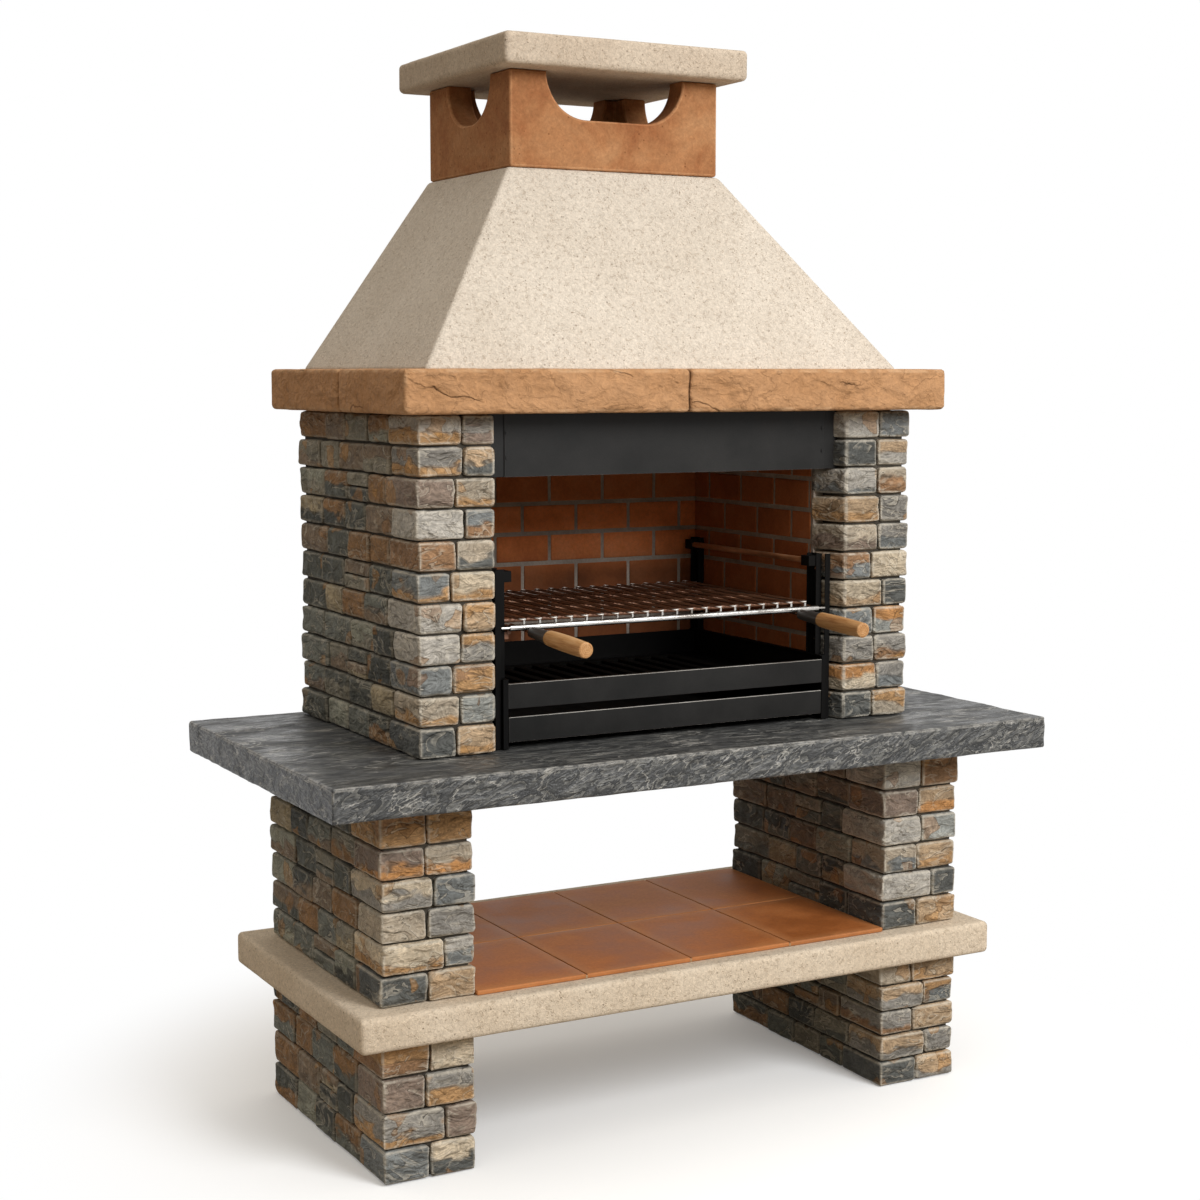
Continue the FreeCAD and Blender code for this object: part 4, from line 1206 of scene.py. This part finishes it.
easedEdges = {
    **dict.fromkeys(uprights, 0.7 * mm), "chimney_collar": 6 * mm, "visor_panel": 1.2 * mm,
    "visor_side_strips": 0.6 * mm, "base_left_side": 0.8 * mm, "base_right_side": 0.8 * mm,
    "base_back_plate": 0.6 * mm, "ember_floor": 0.6 * mm, "base_front_panel": 1.4 * mm,
    "drawer_runners": 0.6 * mm, "ash_drawer_box": 0.5 * mm, "ash_drawer_front": 1.8 * mm,
    "front_edge_strips": 0.7 * mm, "rod_end_blocks": 1 * mm, "charcoal_grate": 1.2 * mm,
}
wornLip = makeSteel("wornLip")
paleEdgeNodes = {        # these edges are paler: bare steel with a painted highlight on the lips and hem, and a painted highlight on the collar
    "visor_panel": makeSteel("wornHem"), "base_front_panel": wornLip, "ash_drawer_front": wornLip,
    "chimney_collar": makeCollar("collarEdge"),
}
easing = {"weld": 0.01 * mm, "segments": 2, "angle": 40}
for node, width in easedEdges.items():
    shape = frame["nodes"][node]
    weld = shape.modifiers.new("weld", "WELD")
    weld.merge_threshold = easing["weld"]
    ease = shape.modifiers.new("ease", "BEVEL")
    ease.width = width
    ease.segments = easing["segments"]
    ease.limit_method = "ANGLE"
    ease.angle_limit = math.radians(easing["angle"])
    if node in paleEdgeNodes:
        shape.data.materials.append(paleEdgeNodes[node])
        ease.material = 1
    shape.modifiers.new("shade", "WEIGHTED_NORMAL")
print("eased edges:", len(easedEdges), "nodes")


# Floor, light and camera

floorLook = {
    "radius": 9.0, "corners": 64, "drop": 0.2 * mm, "colour": (0.89, 0.915, 0.94, 1),
    "bounce": (0.34, 0.3, 0.25, 1), "glow": 0.14, "fadeFrom": 0.75, "fadeTo": 1.5,
}


def seenRays():
    # 1 where the camera looks, straight or by way of metal
    path = add("LightPath").outputs
    return larger(path["Is Camera Ray"], larger(path["Is Glossy Ray"], path["Is Transmission Ray"]))


def buildFloor():
    count, radius = floorLook["corners"], floorLook["radius"]
    turns = [math.tau * i / count for i in range(count)]
    mesh = bpy.data.meshes.new("floor")
    ring = [(radius * math.cos(turn), radius * math.sin(turn), 0) for turn in turns]
    mesh.from_pydata(ring, [], [list(range(count))])
    floor = putIn("floor", mesh)
    floor.location.z = -floorLook["drop"]
    finish = bpy.data.materials.new("paleFloor")
    openTree(finish)
    seen = seenRays()
    shade = blendColours(seen, floorLook["bounce"], floorLook["colour"])
    matt = add("BsdfDiffuse", {"Color": shade}).outputs[0]
    glow = add("Emission", {"Strength": times(seen, floorLook["glow"])}).outputs[0]
    near = add("AddShader", {0: matt, 1: glow}).outputs[0]
    away = add("VectorMath", {0: add("TexCoord").outputs["Object"]}, operation="LENGTH").outputs["Value"]
    fade = times(span(away, floorLook["fadeFrom"], floorLook["fadeTo"]), seen)
    white = add("Emission", {"Strength": 1.0}).outputs[0]
    surface = add("MixShader", {0: fade, 1: near, 2: white}).outputs[0]
    add("OutputMaterial", {"Surface": surface})
    mesh.materials.append(finish)


worldLook = {"horizon": (0.135, 0.105, 0.07, 1), "zenith": (1.07, 0.98, 0.87, 1), "seen": (1, 1, 1, 1)}


def buildWorld():
    world = bpy.data.worlds.new("studio")
    bpy.context.scene.world = world
    openTree(world)
    seen = seenRays()
    rise = axesOf(add("TexCoord").outputs["Generated"])["Z"]
    shade = ramp(rise, ((0.0, worldLook["horizon"]), (1.0, worldLook["zenith"])))
    sky = add("Background", {"Color": blendColours(seen, shade, worldLook["seen"]), "Strength": 1.0})
    add("OutputWorld", {"Surface": sky.outputs[0]})


lampLook = {"at": (1.6, -5.5, 4.2), "aim": (0, 0, 1.2), "size": 3.0, "power": 350}


def buildLamp():
    lamp = bpy.data.lights.new("key", "AREA")
    lamp.shape = "DISK"
    lamp.size = lampLook["size"]
    lamp.energy = lampLook["power"]
    holder = putIn("key", lamp)
    holder.location = lampLook["at"]
    way = Vector(lampLook["aim"]) - Vector(lampLook["at"])
    holder.rotation_euler = way.to_track_quat("-Z", "Y").to_euler()


cameraLook = {
    "at": (-2.3760, -4.2963, 1.7199), "tilt": 83.7455, "turn": -28.578, "lens": 62.008, "sensor": 36,
}


def buildCamera():
    camera = bpy.data.cameras.new("camera")
    camera.lens = cameraLook["lens"]
    camera.sensor_width = cameraLook["sensor"]
    camera.sensor_fit = "HORIZONTAL"
    holder = putIn("camera", camera)
    holder.location = cameraLook["at"]
    holder.rotation_euler = (math.radians(cameraLook["tilt"]), 0, math.radians(cameraLook["turn"]))
    bpy.context.scene.camera = holder


buildFloor()
buildWorld()
buildLamp()
buildCamera()
bpy.context.scene.view_settings.view_transform = "Standard"
print("floor, light and camera")
